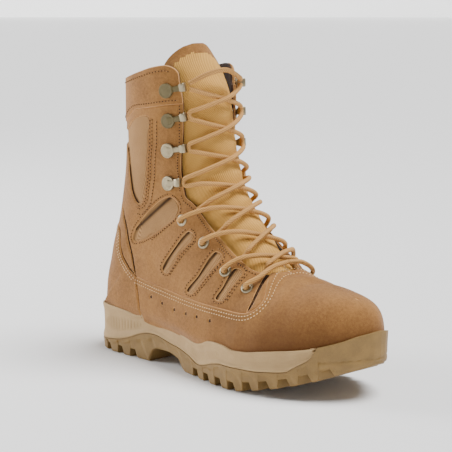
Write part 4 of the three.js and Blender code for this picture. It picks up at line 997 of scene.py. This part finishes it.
def tongue_pad():
    rows = np.concatenate([np.linspace(8.2, 23.0, 150), np.linspace(23.0, 23.4, 8)[1:]])
    cols = np.linspace(-1, 1, 61)
    span, mid, edge, lean = np.moveaxis(tongue_at(rows), -1, 0)
    u = np.minimum(rows, LAST_ROW - 0.02)
    opening = np.where(rows[:, None] < 8.7, span[:, None] * 0.6, throat_at(u))
    inner_part = np.interp(rows, [18.5, 20, 22.4, 23, 23.4], [1, 0.66, 0.6, 0.5, 0.35])[:, None]
    phi = cols[None] * span[:, None] * np.where(cols[None] > 0, inner_part, 1)
    q = np.abs(phi) / np.where(cols[None] < 0, opening[:, :1], opening[:, 1:])
    swell = np.maximum(0, 1 - 1.15 * q * q)
    thin = 0.5 + 0.5 * np.maximum(0, 1 - cols[None] ** 2)
    top = edge[:, None] + (mid - edge)[:, None] * swell
    bare = on_form(u[:, None] + 0 * phi, phi + 1e-7, top)
    cords = np.vstack([smooth_path(lace_path(half), 1.5) for half in (-1, 1)] + [smooth_path(knot_route(), 1.5)])
    press = KDTree(len(cords))
    for k, c in enumerate(cords):
        press.insert(c, k)
    press.balance()
    gap = np.array([press.find(q)[2] for q in bare.reshape(-1, 3)]).reshape(phi.shape)
    room = np.clip((rows - 9) / 2, 0, 1)[:, None] * np.clip(1.25 - q, 0, 1)
    top = top + (2.2 * (1 - np.exp(-(np.maximum(gap - 2.5, 0) / 6) ** 2)) - 0.5) * room
    outer = on_form(u[:, None] + 0 * phi, phi + 1e-7, top)
    inner = on_form(u[:, None] + 0 * phi, phi + 1e-7, top - 5 * thin)
    outer[..., 0] -= lean[:, None]
    inner[..., 0] -= lean[:, None]
    r, c = phi.shape
    points = np.vstack([outer.reshape(-1, 3), inner.reshape(-1, 3)])
    n = r * c
    faces = []
    for i in range(r - 1):
        for j in range(c - 1):
            a = i * c + j
            faces.append((a, a + 1, a + c + 1, a + c))
            faces.append((a + n, a + c + n, a + c + 1 + n, a + 1 + n))
    for i in range(r - 1):
        a, b = i * c, (i + 1) * c
        faces.append((a, b, b + n, a + n))
        a, b = i * c + c - 1, (i + 1) * c + c - 1
        faces.append((b, a, a + n, b + n))
    for j in range(c - 1):
        faces.append((j + 1, j, j + n, j + 1 + n))
        a = (r - 1) * c + j
        faces.append((a, a + 1, a + 1 + n, a + n))
    flat = unroll(u[:, None] + 0 * phi, np.abs(phi), 1) * np.sign(phi + 1e-9)[..., None]
    flat[..., 1] = np.abs(flat[..., 1])
    flat = flat.reshape(-1, 2)
    outline = np.vstack([outer[rows > 22, 0], outer[-1], outer[rows > 22, -1]])
    centre = (outer[:-1, :-1] + outer[1:, 1:]).reshape(-1, 3) / 2
    banded = apart(centre, outline) < TONGUE_BAND
    index = np.stack([np.where(banded, 2, 0), np.ones(len(banded), int)], -1).ravel().tolist()
    index += [2] * (len(faces) - len(index))
    piece = make("tongue_pad", points, faces, [TONGUE_CLOTH, LINING, TAN], ["tongue"],
                 np.vstack([flat, flat]), index=index)


tongue_pad()


# Sole
def sole_stations(spacing):
    k = np.linspace(0, len(OUTLINE) - 1, 1200)
    share = outline_at(k)[:, 0]
    run = np.concatenate([[0], np.cumsum(np.hypot(np.diff(share) * LENGTH, np.diff(outline_at(k)[:, 2]) * BALL_WIDTH))])
    even = np.interp(np.arange(0, run[-1], spacing), run, share)
    extra = [s + e / LENGTH for s in SLOTS
             for e in (-SLOT_WIDE / 2 - 0.35, -SLOT_WIDE / 2, SLOT_WIDE / 2 - 0.6, SLOT_WIDE / 2 + 2.4)]
    even = [s for s in even if min(abs(s - e) for e in extra) * LENGTH > 0.5 * spacing]
    return np.unique(np.concatenate([even, extra, [0, 1]]))


def slot_depth(share):
    """How far each station lies in a tread slot: upright behind, slanted in front"""
    deep = np.zeros(len(share))
    for s in SLOTS:
        off = (share - s) * LENGTH
        behind = off >= -SLOT_WIDE / 2 - 0.01
        deep = np.maximum(deep, behind * np.clip((SLOT_WIDE / 2 + 2.4 - off) / 3, 0, 1))
    return deep


def wall_normal(share, side):
    c, h = across(share)
    x, y = share * LENGTH, c + side * h
    t = np.stack([np.gradient(x), np.gradient(y)], -1)
    n = unit(np.stack([t[:, 1] * -side, t[:, 0] * side], -1))
    n[0], n[-1] = (-1, 0), (1, 0)
    return x, y, n


def sole_piece(name, share, low, high, parts, inset, material, node, tread=False):
    """Side walls, a rim that runs in under the upper, and a floor"""
    points, faces, columns = [], [], {}
    ledge = FEATHER + 0.5
    under = np.maximum(np.minimum(high, seat(share * LENGTH)) - 0.4, low + 0.2)
    for side in (-1, 1):
        x, y, n = wall_normal(share, side)
        spots = []
        for part in parts:
            z = low + (high - low) * part
            d = inset(share, part, z)
            spots.append(np.stack([x - n[:, 0] * d, y - n[:, 1] * d, z], -1))
        for d, z in ((ledge, high), (ledge + 0.3, under), (ledge * 3, under)):
            spots.append(np.stack([x - n[:, 0] * d, y - n[:, 1] * d, z], -1))
        block = np.stack(spots, 1)
        columns[side] = len(points) + np.arange(block.shape[0] * block.shape[1]).reshape(block.shape[:2])
        points += block.reshape(-1, 3).tolist()
    count, m = columns[-1].shape
    for side in (-1, 1):
        c = columns[side]
        for i in range(count - 1):
            for k in range(m - 1):
                f = (c[i, k], c[i + 1, k], c[i + 1, k + 1], c[i, k + 1])
                faces.append(f if side < 0 else f[::-1])
    left, right = columns[-1], columns[1]
    faces += [(left[i, -1], left[i + 1, -1], right[i + 1, -1], right[i, -1]) for i in range(count - 1)]
    if not tread:
        faces += [(left[i, 0], right[i, 0], right[i + 1, 0], left[i + 1, 0]) for i in range(count - 1)]
    else:
        faces += tread_floor(points, share, left[:, 0], right[:, 0])
    for k in range(m - 1):
        faces.append((left[0, k + 1], left[0, k], right[0, k], right[0, k + 1]))
        faces.append((left[-1, k], left[-1, k + 1], right[-1, k + 1], right[-1, k]))
    return make(name, points, [tuple(int(k) for k in f) for f in faces], material, [node])


def tread_floor(points, share, left, right):
    """Underside: lugs between slots that narrow towards a middle spine"""
    x0, deep = share * LENGTH, slot_depth(share)
    taper = np.clip(np.minimum(x0, LENGTH - x0) / 20, 0, 1)
    centres = np.array(SLOTS) * LENGTH
    nearest = centres[np.argmin(np.abs(x0[:, None] - centres), axis=1)]
    off = x0 - nearest
    close = np.abs(off) < SLOT_WIDE / 2 + 2.5
    middle, _ = across(share)
    grid = [right.tolist()]
    for q in np.concatenate([np.linspace(1, 0, 26)[1:], -np.linspace(0, 1, 26)[1:-1]]):
        edge = right if q > 0 else left
        edge_x, edge_y = np.array([points[k][:2] for k in edge]).T
        part = abs(q)
        squeeze = np.where(close, 1 - (1 - SLOT_NARROW / SLOT_WIDE) * (1 - part), 1)
        x = edge_x + off * (squeeze - 1) + SLOT_SLANT * LENGTH * (1 - part) * taper
        y = middle + (edge_y - middle) * part
        z = ground_at(x / LENGTH)[:, 0] * SOLE_HEIGHT + np.where(np.abs(y - middle) > SPINE * BALL_WIDTH, deep, 0) * TREAD_DEPTH
        grid.append(list(range(len(points), len(points) + len(x))))
        points += np.stack([x, y, z], -1).tolist()
    grid.append(left.tolist())
    return [(a[j], a[j + 1], b[j + 1], b[j]) for a, b in zip(grid[:-1], grid[1:]) for j in range(len(share) - 1)]


def wave(value):
    return 0.5 + 0.5 * np.sin(2 * np.pi * value)


def within(value, low, high, soft):
    return np.clip((value - low) / soft, 0, 1) * np.clip((high - value) / soft, 0, 1)


def foam_inset(share, part, z):
    """Lip at the top, hollow side, rounded bead at the bottom, and three fields of fine ribs"""
    d = np.interp(part, [0, 0.03, 0.09, 0.16, 0.24, 0.5, 0.78, 0.84, 0.9, 0.96, 1],
                  [0.9, 0.3, 0.2, 0.7, 1.3, 1.4, 1.0, 0.7, 0.1, 0, 0.3])
    x = share * LENGTH
    d = d - 0.7 * wave((x + 0.9 * z) / 3.6) * within(share, 0.44, 0.61, 0.01) * within(part, 0.2, 0.62, 0.05)
    d = d - 0.5 * wave((x + 1.4 * z) / 3.0) * within(share, 0.69, 0.86, 0.01) * within(part, 0.18, 0.5, 0.05)
    lens = 1 - ((share - 0.15) / 0.1) ** 2 - ((part - 0.5) / 0.22) ** 2
    return d + (0.2 - 0.7 * wave(x / 4.2)) * np.clip(lens * 3, 0, 1)


def rubber_inset(share, part, z):
    """Draft of the wall, with a slanted facet over each lug and a bumper at the toe"""
    x = share * LENGTH
    d = np.interp(part, [0, 0.06, 0.14, 0.5, 0.86, 1], [2.4, 1.2, 0.8, 0.7, 0.4, 0.2])
    saw = ((x + 0.55 * z) / 17.0) % 1
    d = d + 1.3 * np.minimum(saw, (1 - saw) * 4) * within(part, 0.02, 0.8, 0.1) * (share < 0.88)
    groove = np.exp(-((z - 26 - 20 * (share - 0.93)) / 1.1) ** 2) + np.exp(-((z - 33 - 26 * (share - 0.93)) / 0.8) ** 2)
    return d + 0.9 * groove * np.clip((share - 0.885) / 0.02, 0, 1)


def levels_at(share):
    ground = ground_at(share)[:, 0] * SOLE_HEIGHT
    rim = rim_at(share)[:, 0] * SOLE_HEIGHT
    return ground, rim, np.minimum(parting_at(share)[:, 0] * SOLE_HEIGHT, rim)


def soles():
    share = sole_stations(1.2)
    ground, _, parting = levels_at(share)
    low = ground + slot_depth(share) * TREAD_DEPTH
    sole_piece("outsole_rubber", share, low, np.maximum(parting, low + 0.5), np.linspace(0, 1, 20), rubber_inset,
               RUBBER, "outsole", tread=True)
    share = sole_stations(0.8)
    share = share[share < 0.8955]
    _, rim, parting = levels_at(share)
    sole_piece("midsole_foam_body", share, parting + 0.3, np.maximum(rim, parting + 0.5), np.linspace(0, 1, 26),
               foam_inset, FOAM, "midsole")


soles()


def insole_board():
    inset = INSET + PANEL + GAP + WALL + 4 * GAP
    pts, faces = [], []
    sh = np.linspace(0.03, 0.965, 60)
    c, h = across(sh)
    for s, cc, hh in zip(sh, c, h):
        z = seat(np.array([s * LENGTH]))[0] + 2 * GAP
        w = max(hh - inset, 1.0)
        for y, dz in ((-w, 0), (-w, 4.5), (w, 4.5), (w, 0)):
            pts.append((s * LENGTH, cc + y, z + dz))
    for i in range(len(sh) - 1):
        for k in range(4):
            a, b = i * 4 + k, i * 4 + (k + 1) % 4
            faces.append((a, b, b + 4, a + 4))
    faces += [(3, 2, 1, 0), tuple((len(sh) - 1) * 4 + k for k in range(4))]
    make("insole_board", pts, faces, INSOLE, ["insole"])


insole_board()

# Metal
def turned(profile, u, phi, height, sides=28):
    """Piece turned about the form's normal: profile of radius and height, first row at the axis"""
    out = form_normal(u, phi)
    x = unit(np.cross(out, [0.0, 0.0, 1.0]))
    y = np.cross(out, x)
    centre = on_form(u, phi, height)
    turn = np.linspace(0, 2 * np.pi, sides, endpoint=False)
    points, faces = [], []
    for r, h in profile:
        for a in turn:
            points.append(centre + out * h + (x * math.cos(a) + y * math.sin(a)) * r)
    rows = len(profile)
    for k in range(rows - 1):
        for j in range(sides):
            a, b = k * sides + j, k * sides + (j + 1) % sides
            faces.append((a, b, b + sides, a + sides))
    faces.append(tuple(range(sides))[::-1])
    faces.append(tuple((rows - 1) * sides + j for j in range(sides)))
    return points, faces


def gather(name, parts, material, nodes, index=None):
    points, faces = [], []
    for p, f in parts:
        faces += [tuple(k + len(points) for k in face) for face in f]
        points += list(p)
    return make(name, points, faces, material, nodes, index=index)


RING_PROFILE = [(2.5, -0.5), (2.6, 0.5), (2.85, 1.0), (3.5, 1.3), (4.3, 1.25), (4.9, 0.9), (5.2, 0.4), (5.2, -0.9)]
BUTTON_PROFILE = [(0.6, 2.5), (3.2, 2.45), (4.7, 2.25), (5.2, 2.3), (5.7, 2.55), (6.1, 2.4), (6.25, 2.0),
                  (6.25, 0.4), (6.0, -0.3)]


def ring_pieces():
    parts, index = [], []
    for side in (-1, 1):
        for u, phi, lift in RINGS:
            points, faces = turned(RING_PROFILE, u, side * phi, lift)
            parts.append((points, [f[::-1] for f in faces]))
            # The disc that closes each ring's bore gets the painted hole shade.
            index += [0] * (len(faces) - 2) + [1, 0]
    names = [f"eyelet_{side}_{k}" for side in ("lateral", "medial") for k in range(1, 5)]
    gather("lace_rings", parts, [NICKEL, HOLE_SHADE], names, index)


def hook_arm(level, side):
    """Waisted strap from the button, bent up and back over the lace"""
    b, _, out, along, over, far = hook_frame(level, side)
    h, t, gap = HOOK_STAND, HOOK_STOCK, HOOK_OPEN
    spine = smooth_path([[0, h + 0.6 * t, 6.2], [far * 0.4, h + 0.5 * t, 4.6], [far - 0.8, h + 0.5 * t, 6.6],
                         [far + 0.4, h + t, 7.4], [far + 0.55, h + t + gap * 0.5, 7.6],
                         [far + 0.3, h + gap + 1.2 * t, 7.4], [far - 0.8, h + gap + 1.6 * t, 7.0],
                         [far - gap + 1.0, h + gap + 1.1 * t, 6.2]], 0.6)
    way = unit(np.gradient(spine[:, :2], axis=0))
    turn = np.linspace(0, 2 * np.pi, 14, endpoint=False)
    c, s = np.cos(turn), np.sin(turn)
    wide, thick = np.sign(c) * np.abs(c) ** 0.5, np.sign(s) * np.abs(s) ** 0.6
    points = []
    for (x, y, w), (dx, dy) in zip(spine, way):
        centre = b + along * x + out * y
        normal = out * dx - along * dy
        points += list(centre + over * (wide * w / 2)[:, None] + normal * (thick * t / 2)[:, None])
    n = len(spine)
    faces = [(i * 14 + j, i * 14 + (j + 1) % 14, (i + 1) * 14 + (j + 1) % 14, (i + 1) * 14 + j)
             for i in range(n - 1) for j in range(14)]
    faces += [tuple(range(14))[::-1], tuple((n - 1) * 14 + j for j in range(14))]
    return points, faces


def hook_pieces():
    for name, levels, metal, slot in (("plain_hooks", (0, 1), NICKEL, "lacing_metal"),
                                      ("painted_hooks", (2, 3), OLIVE, "hook_paint")):
        parts, nodes, index = [], [], []
        for side, label in ((-1, "lateral"), (1, "medial")):
            for level in levels:
                u, phi, _, _, move, lift = HOOKS[level]
                disc = turned(BUTTON_PROFILE, u, side * (phi + (move if side > 0 else 0)), lift)
                arm = hook_arm(level, side)
                parts += [disc, arm]
                index += [0] * len(disc[1]) + [0 if k < len(arm[1]) * 0.45 else 1 for k in range(len(arm[1]))]
                nodes.append(f"hook_{label}_{level + 1}")
        gather(name, parts, [metal, NICKEL], nodes, index)


ring_pieces()
hook_pieces()


# Sewing
def stitch_tree():
    """Rounded stitches on points that carry their way along the seam and out of the leather"""
    tree = bpy.data.node_groups.new("stitches", "GeometryNodeTree")
    sockets = {}
    for label, kind in (("Points", "NodeSocketGeometry"), ("Length", "NodeSocketFloat"),
                        ("Thickness", "NodeSocketFloat"), ("Finish", "NodeSocketMaterial")):
        sockets[label] = tree.interface.new_socket(label, in_out="INPUT", socket_type=kind).identifier
    tree.interface.new_socket("Stitches", in_out="OUTPUT", socket_type="NodeSocketGeometry")
    nodes, link = tree.nodes, tree.links.new
    start, end = nodes.new("NodeGroupInput"), nodes.new("NodeGroupOutput")
    bead = nodes.new("GeometryNodeMeshUVSphere")
    bead.inputs["Segments"].default_value, bead.inputs["Rings"].default_value = 6, 4
    bead.inputs["Radius"].default_value = 0.5
    scale, shape = nodes.new("ShaderNodeCombineXYZ"), nodes.new("GeometryNodeTransform")
    link(start.outputs["Length"], scale.inputs["X"])
    link(start.outputs["Thickness"], scale.inputs["Y"])
    link(start.outputs["Thickness"], scale.inputs["Z"])
    link(bead.outputs["Mesh"], shape.inputs["Geometry"])
    link(scale.outputs[0], shape.inputs["Scale"])
    turn = None
    for label, axis, pivot in (("along", "X", "AUTO"), ("out", "Z", "X")):
        field = nodes.new("GeometryNodeInputNamedAttribute")
        field.data_type = "FLOAT_VECTOR"
        field.inputs["Name"].default_value = label
        align = nodes.new("FunctionNodeAlignRotationToVector")
        align.axis, align.pivot_axis = axis, pivot
        link(field.outputs["Attribute"], align.inputs["Vector"])
        if turn:
            link(turn, align.inputs["Rotation"])
        turn = align.outputs["Rotation"]
    place = nodes.new("GeometryNodeInstanceOnPoints")
    real, finish = nodes.new("GeometryNodeRealizeInstances"), nodes.new("GeometryNodeSetMaterial")
    link(start.outputs["Points"], place.inputs["Points"])
    link(shape.outputs["Geometry"], place.inputs["Instance"])
    link(turn, place.inputs["Rotation"])
    link(place.outputs["Instances"], real.inputs["Geometry"])
    link(real.outputs["Geometry"], finish.inputs["Geometry"])
    link(start.outputs["Finish"], finish.inputs["Material"])
    link(finish.outputs["Geometry"], end.inputs[0])
    return tree, sockets


STITCHES, STITCH_SOCKETS = stitch_tree()


def sew(name, rows, length, thickness, material):
    """One piece of all the stitches of some rows, each row points, ways and normals"""
    spots, along, out = (np.vstack([r[k] for r in rows]) for k in range(3))
    mesh = bpy.data.meshes.new(name + "_spots")
    mesh.from_pydata(((spots + SHIFT) * 0.001).tolist(), [], [])
    for label, values in (("along", along), ("out", out)):
        mesh.attributes.new(label, "FLOAT_VECTOR", "POINT").data.foreach_set(
            "vector", values.astype(np.float32).ravel())
    piece = bpy.data.objects.new(name, mesh)
    bpy.context.scene.collection.objects.link(piece)
    nodes = piece.modifiers.new("stitches", "NODES")
    nodes.node_group = STITCHES
    nodes[STITCH_SOCKETS["Length"]] = length * 0.001
    nodes[STITCH_SOCKETS["Thickness"]] = thickness * 0.001
    nodes[STITCH_SOCKETS["Finish"]] = material
    done = bpy.data.meshes.new_from_object(piece.evaluated_get(bpy.context.evaluated_depsgraph_get()))
    piece.modifiers.clear()
    piece.data = done
    done.name = name
    done.polygons.foreach_set("use_smooth", np.ones(len(done.polygons), bool))
    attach(piece, "root")


def beside(line, distance):
    """A side-view line moved to its left"""
    way = unit(np.gradient(line, axis=0))
    return line + np.stack([-way[:, 1], way[:, 0]], -1) * distance


def seam_row(flat, side, height, pitch=3.3, shift=0.5):
    run = np.concatenate([[0], np.cumsum(np.linalg.norm(np.diff(flat, axis=0), axis=1))])
    at = np.arange(pitch * shift, run[-1], pitch)
    spots = np.stack([np.interp(at, run, flat[:, k]) for k in (0, 1)], -1)
    u, w = roll(spots, side)
    lift = height + relief(spots * [side, 1])
    p, out = on_form(u, side * np.maximum(w, 1e-6), lift), form_normal(u, side * np.maximum(w, 1e-6))
    return p, unit(np.gradient(p, axis=0)), out


def keep_row(row, mask):
    return tuple(k[mask] for k in row)


def sewing():
    cream, plain = [], []
    for side in (-1, 1):
        band = EDGES["band"]
        for distance in (-2.6, -5.4):
            cream.append((on_side(beside(band, distance), side), side, BAND_TOP))
            heel = EDGES["counter"][EDGES["counter"][:, 0] > 6]
            cream.append((on_side(beside(heel, distance), side), side, 0.0))
        cuff = EDGES["cuff"][EDGES["cuff"][:, 0] < 118]
        plain.append((on_side(beside(cuff, 3.4), side), side, CUFF_TOP))
        collar = EDGES["collar"][EDGES["collar"][:, 0] < 112]
        plain.append((on_side(beside(collar, -4.6), side), side, CUFF_TOP))
        plain.append((throat_edge(side, 17.6, 22.3, 3.4), side, None))
        plain.append((throat_edge(side, 9.2, 17.4, 3.2), side, QUARTER_TOP))
        for k, v in enumerate(VENTS):
            loop = smooth_path(in_mm(v), 1.0, True)
            turn = np.sign(np.cross(loop[1] - loop[0], loop[len(loop) // 3] - loop[0]))
            plain.append((on_side(beside(loop, -2.4 * turn), side), side, QUARTER_TOP))
            low = smooth_path(in_mm([v[n] for n in VENT_SIDES[k][1]]), 1.0)
            plain.append((on_side(beside(low, -4.8 * turn), side), side, QUARTER_TOP))
        right = smooth_path(in_mm(WINDOW[4:10]), 1.0)
        for distance in (2.2, 4.6, 9.5):
            line = beside(right, -distance)
            plain.append((on_side(line[line[:, 1] < 214], side), side, QUARTER_TOP))
    threads, bright, holes = [], [], []
    for rows, group in ((cream, bright), (plain, threads)):
        for flat, side, height in rows:
            spots = height
            if height is None:
                row_z = np.interp(flat[:, 1], CLIMB, ROWS)
                spots = QUARTER_TOP if row_z.mean() < 20 else CUFF_TOP
            group.append(seam_row(flat, side, spots + 0.1))
            if rows is plain:
                holes.append(seam_row(flat, side, spots + 0.08, shift=1.0))
    dots = []
    for side in (-1, 1):
        # Painted shade: dark discs sunk in the perforations and dark beads between the stitches stand for the shade in
        # the holes.
        u, w = locate(np.array(PERFORATIONS, float), side)
        place = on_form(u, side * w, -1.75)
        dots.append((place, unit(np.gradient(place, axis=0)), form_normal(u, side * w)))
    sew("perforation_shade_discs", dots, 3.6, 3.6, HOLE_SHADE)
    sew("cream_stitches", bright, 1.9, 0.85, CREAM)
    sew("tan_stitches", threads, 1.8, 0.8, THREAD)
    sew("needle_holes", holes, 1.3, 1.1, HOLE_SHADE)


sewing()


# Floor and light
def floor():
    mesh = bpy.data.meshes.new("floor")
    mesh.from_pydata([(-60, -60, 0), (60, -60, 0), (60, 60, 0), (-60, 60, 0)], [], [(0, 1, 2, 3)])
    piece = bpy.data.objects.new("floor", mesh)
    bpy.context.scene.collection.objects.link(piece)
    f = Finish("floor_white")
    mesh.materials.append(f.surface((0.84, 0.84, 0.84), 0.8))


def horizon():
    """Bright ring at the floor's far edge"""
    turn = np.linspace(0, 2 * np.pi, 96, endpoint=False)
    points = [(58 * math.cos(a), 58 * math.sin(a), z) for a in turn for z in (0, 10)]
    faces = [(2 * i, 2 * i + 1, (2 * i + 3) % 192, (2 * i + 2) % 192) for i in range(96)]
    mesh = bpy.data.meshes.new("horizon")
    mesh.from_pydata(points, [], faces)
    piece = bpy.data.objects.new("horizon", mesh)
    bpy.context.scene.collection.objects.link(piece)
    f = Finish("horizon_white")
    mesh.materials.append(f.surface((0.9, 0.9, 0.9), 0.8, **{
        "Emission Color": (1, 1, 1), "Emission Strength": 1.1}))


def sun(name, way, power, spread):
    data = bpy.data.lights.new(name, "SUN")
    data.energy, data.angle = power, math.radians(spread)
    light = bpy.data.objects.new(name, data)
    bpy.context.scene.collection.objects.link(light)
    light.rotation_euler = Vector(way).to_track_quat("-Z", "Y").to_euler()


def lamp(name, place, size, power, colour=(1, 1, 1)):
    data = bpy.data.lights.new(name, "AREA")
    data.shape, data.size, data.energy, data.color = "DISK", size, power, colour
    light = bpy.data.objects.new(name, data)
    bpy.context.scene.collection.objects.link(light)
    light.location = place
    light.rotation_euler = (Vector((0, 0, 0.1)) - Vector(place)).to_track_quat("-Z", "Y").to_euler()


floor()
horizon()
sun("key", (-0.5, -0.35, -1.5), 5.8, 36)
lamp("left", (-1.6, -0.8, 0.7), 0.9, 34)
world = bpy.context.scene.world or bpy.data.worlds.new("studio")
bpy.context.scene.world = world
world.use_nodes = True
world.node_tree.nodes["Background"].inputs[0].default_value = (1, 1, 1, 1)
world.node_tree.nodes["Background"].inputs[1].default_value = 0.18
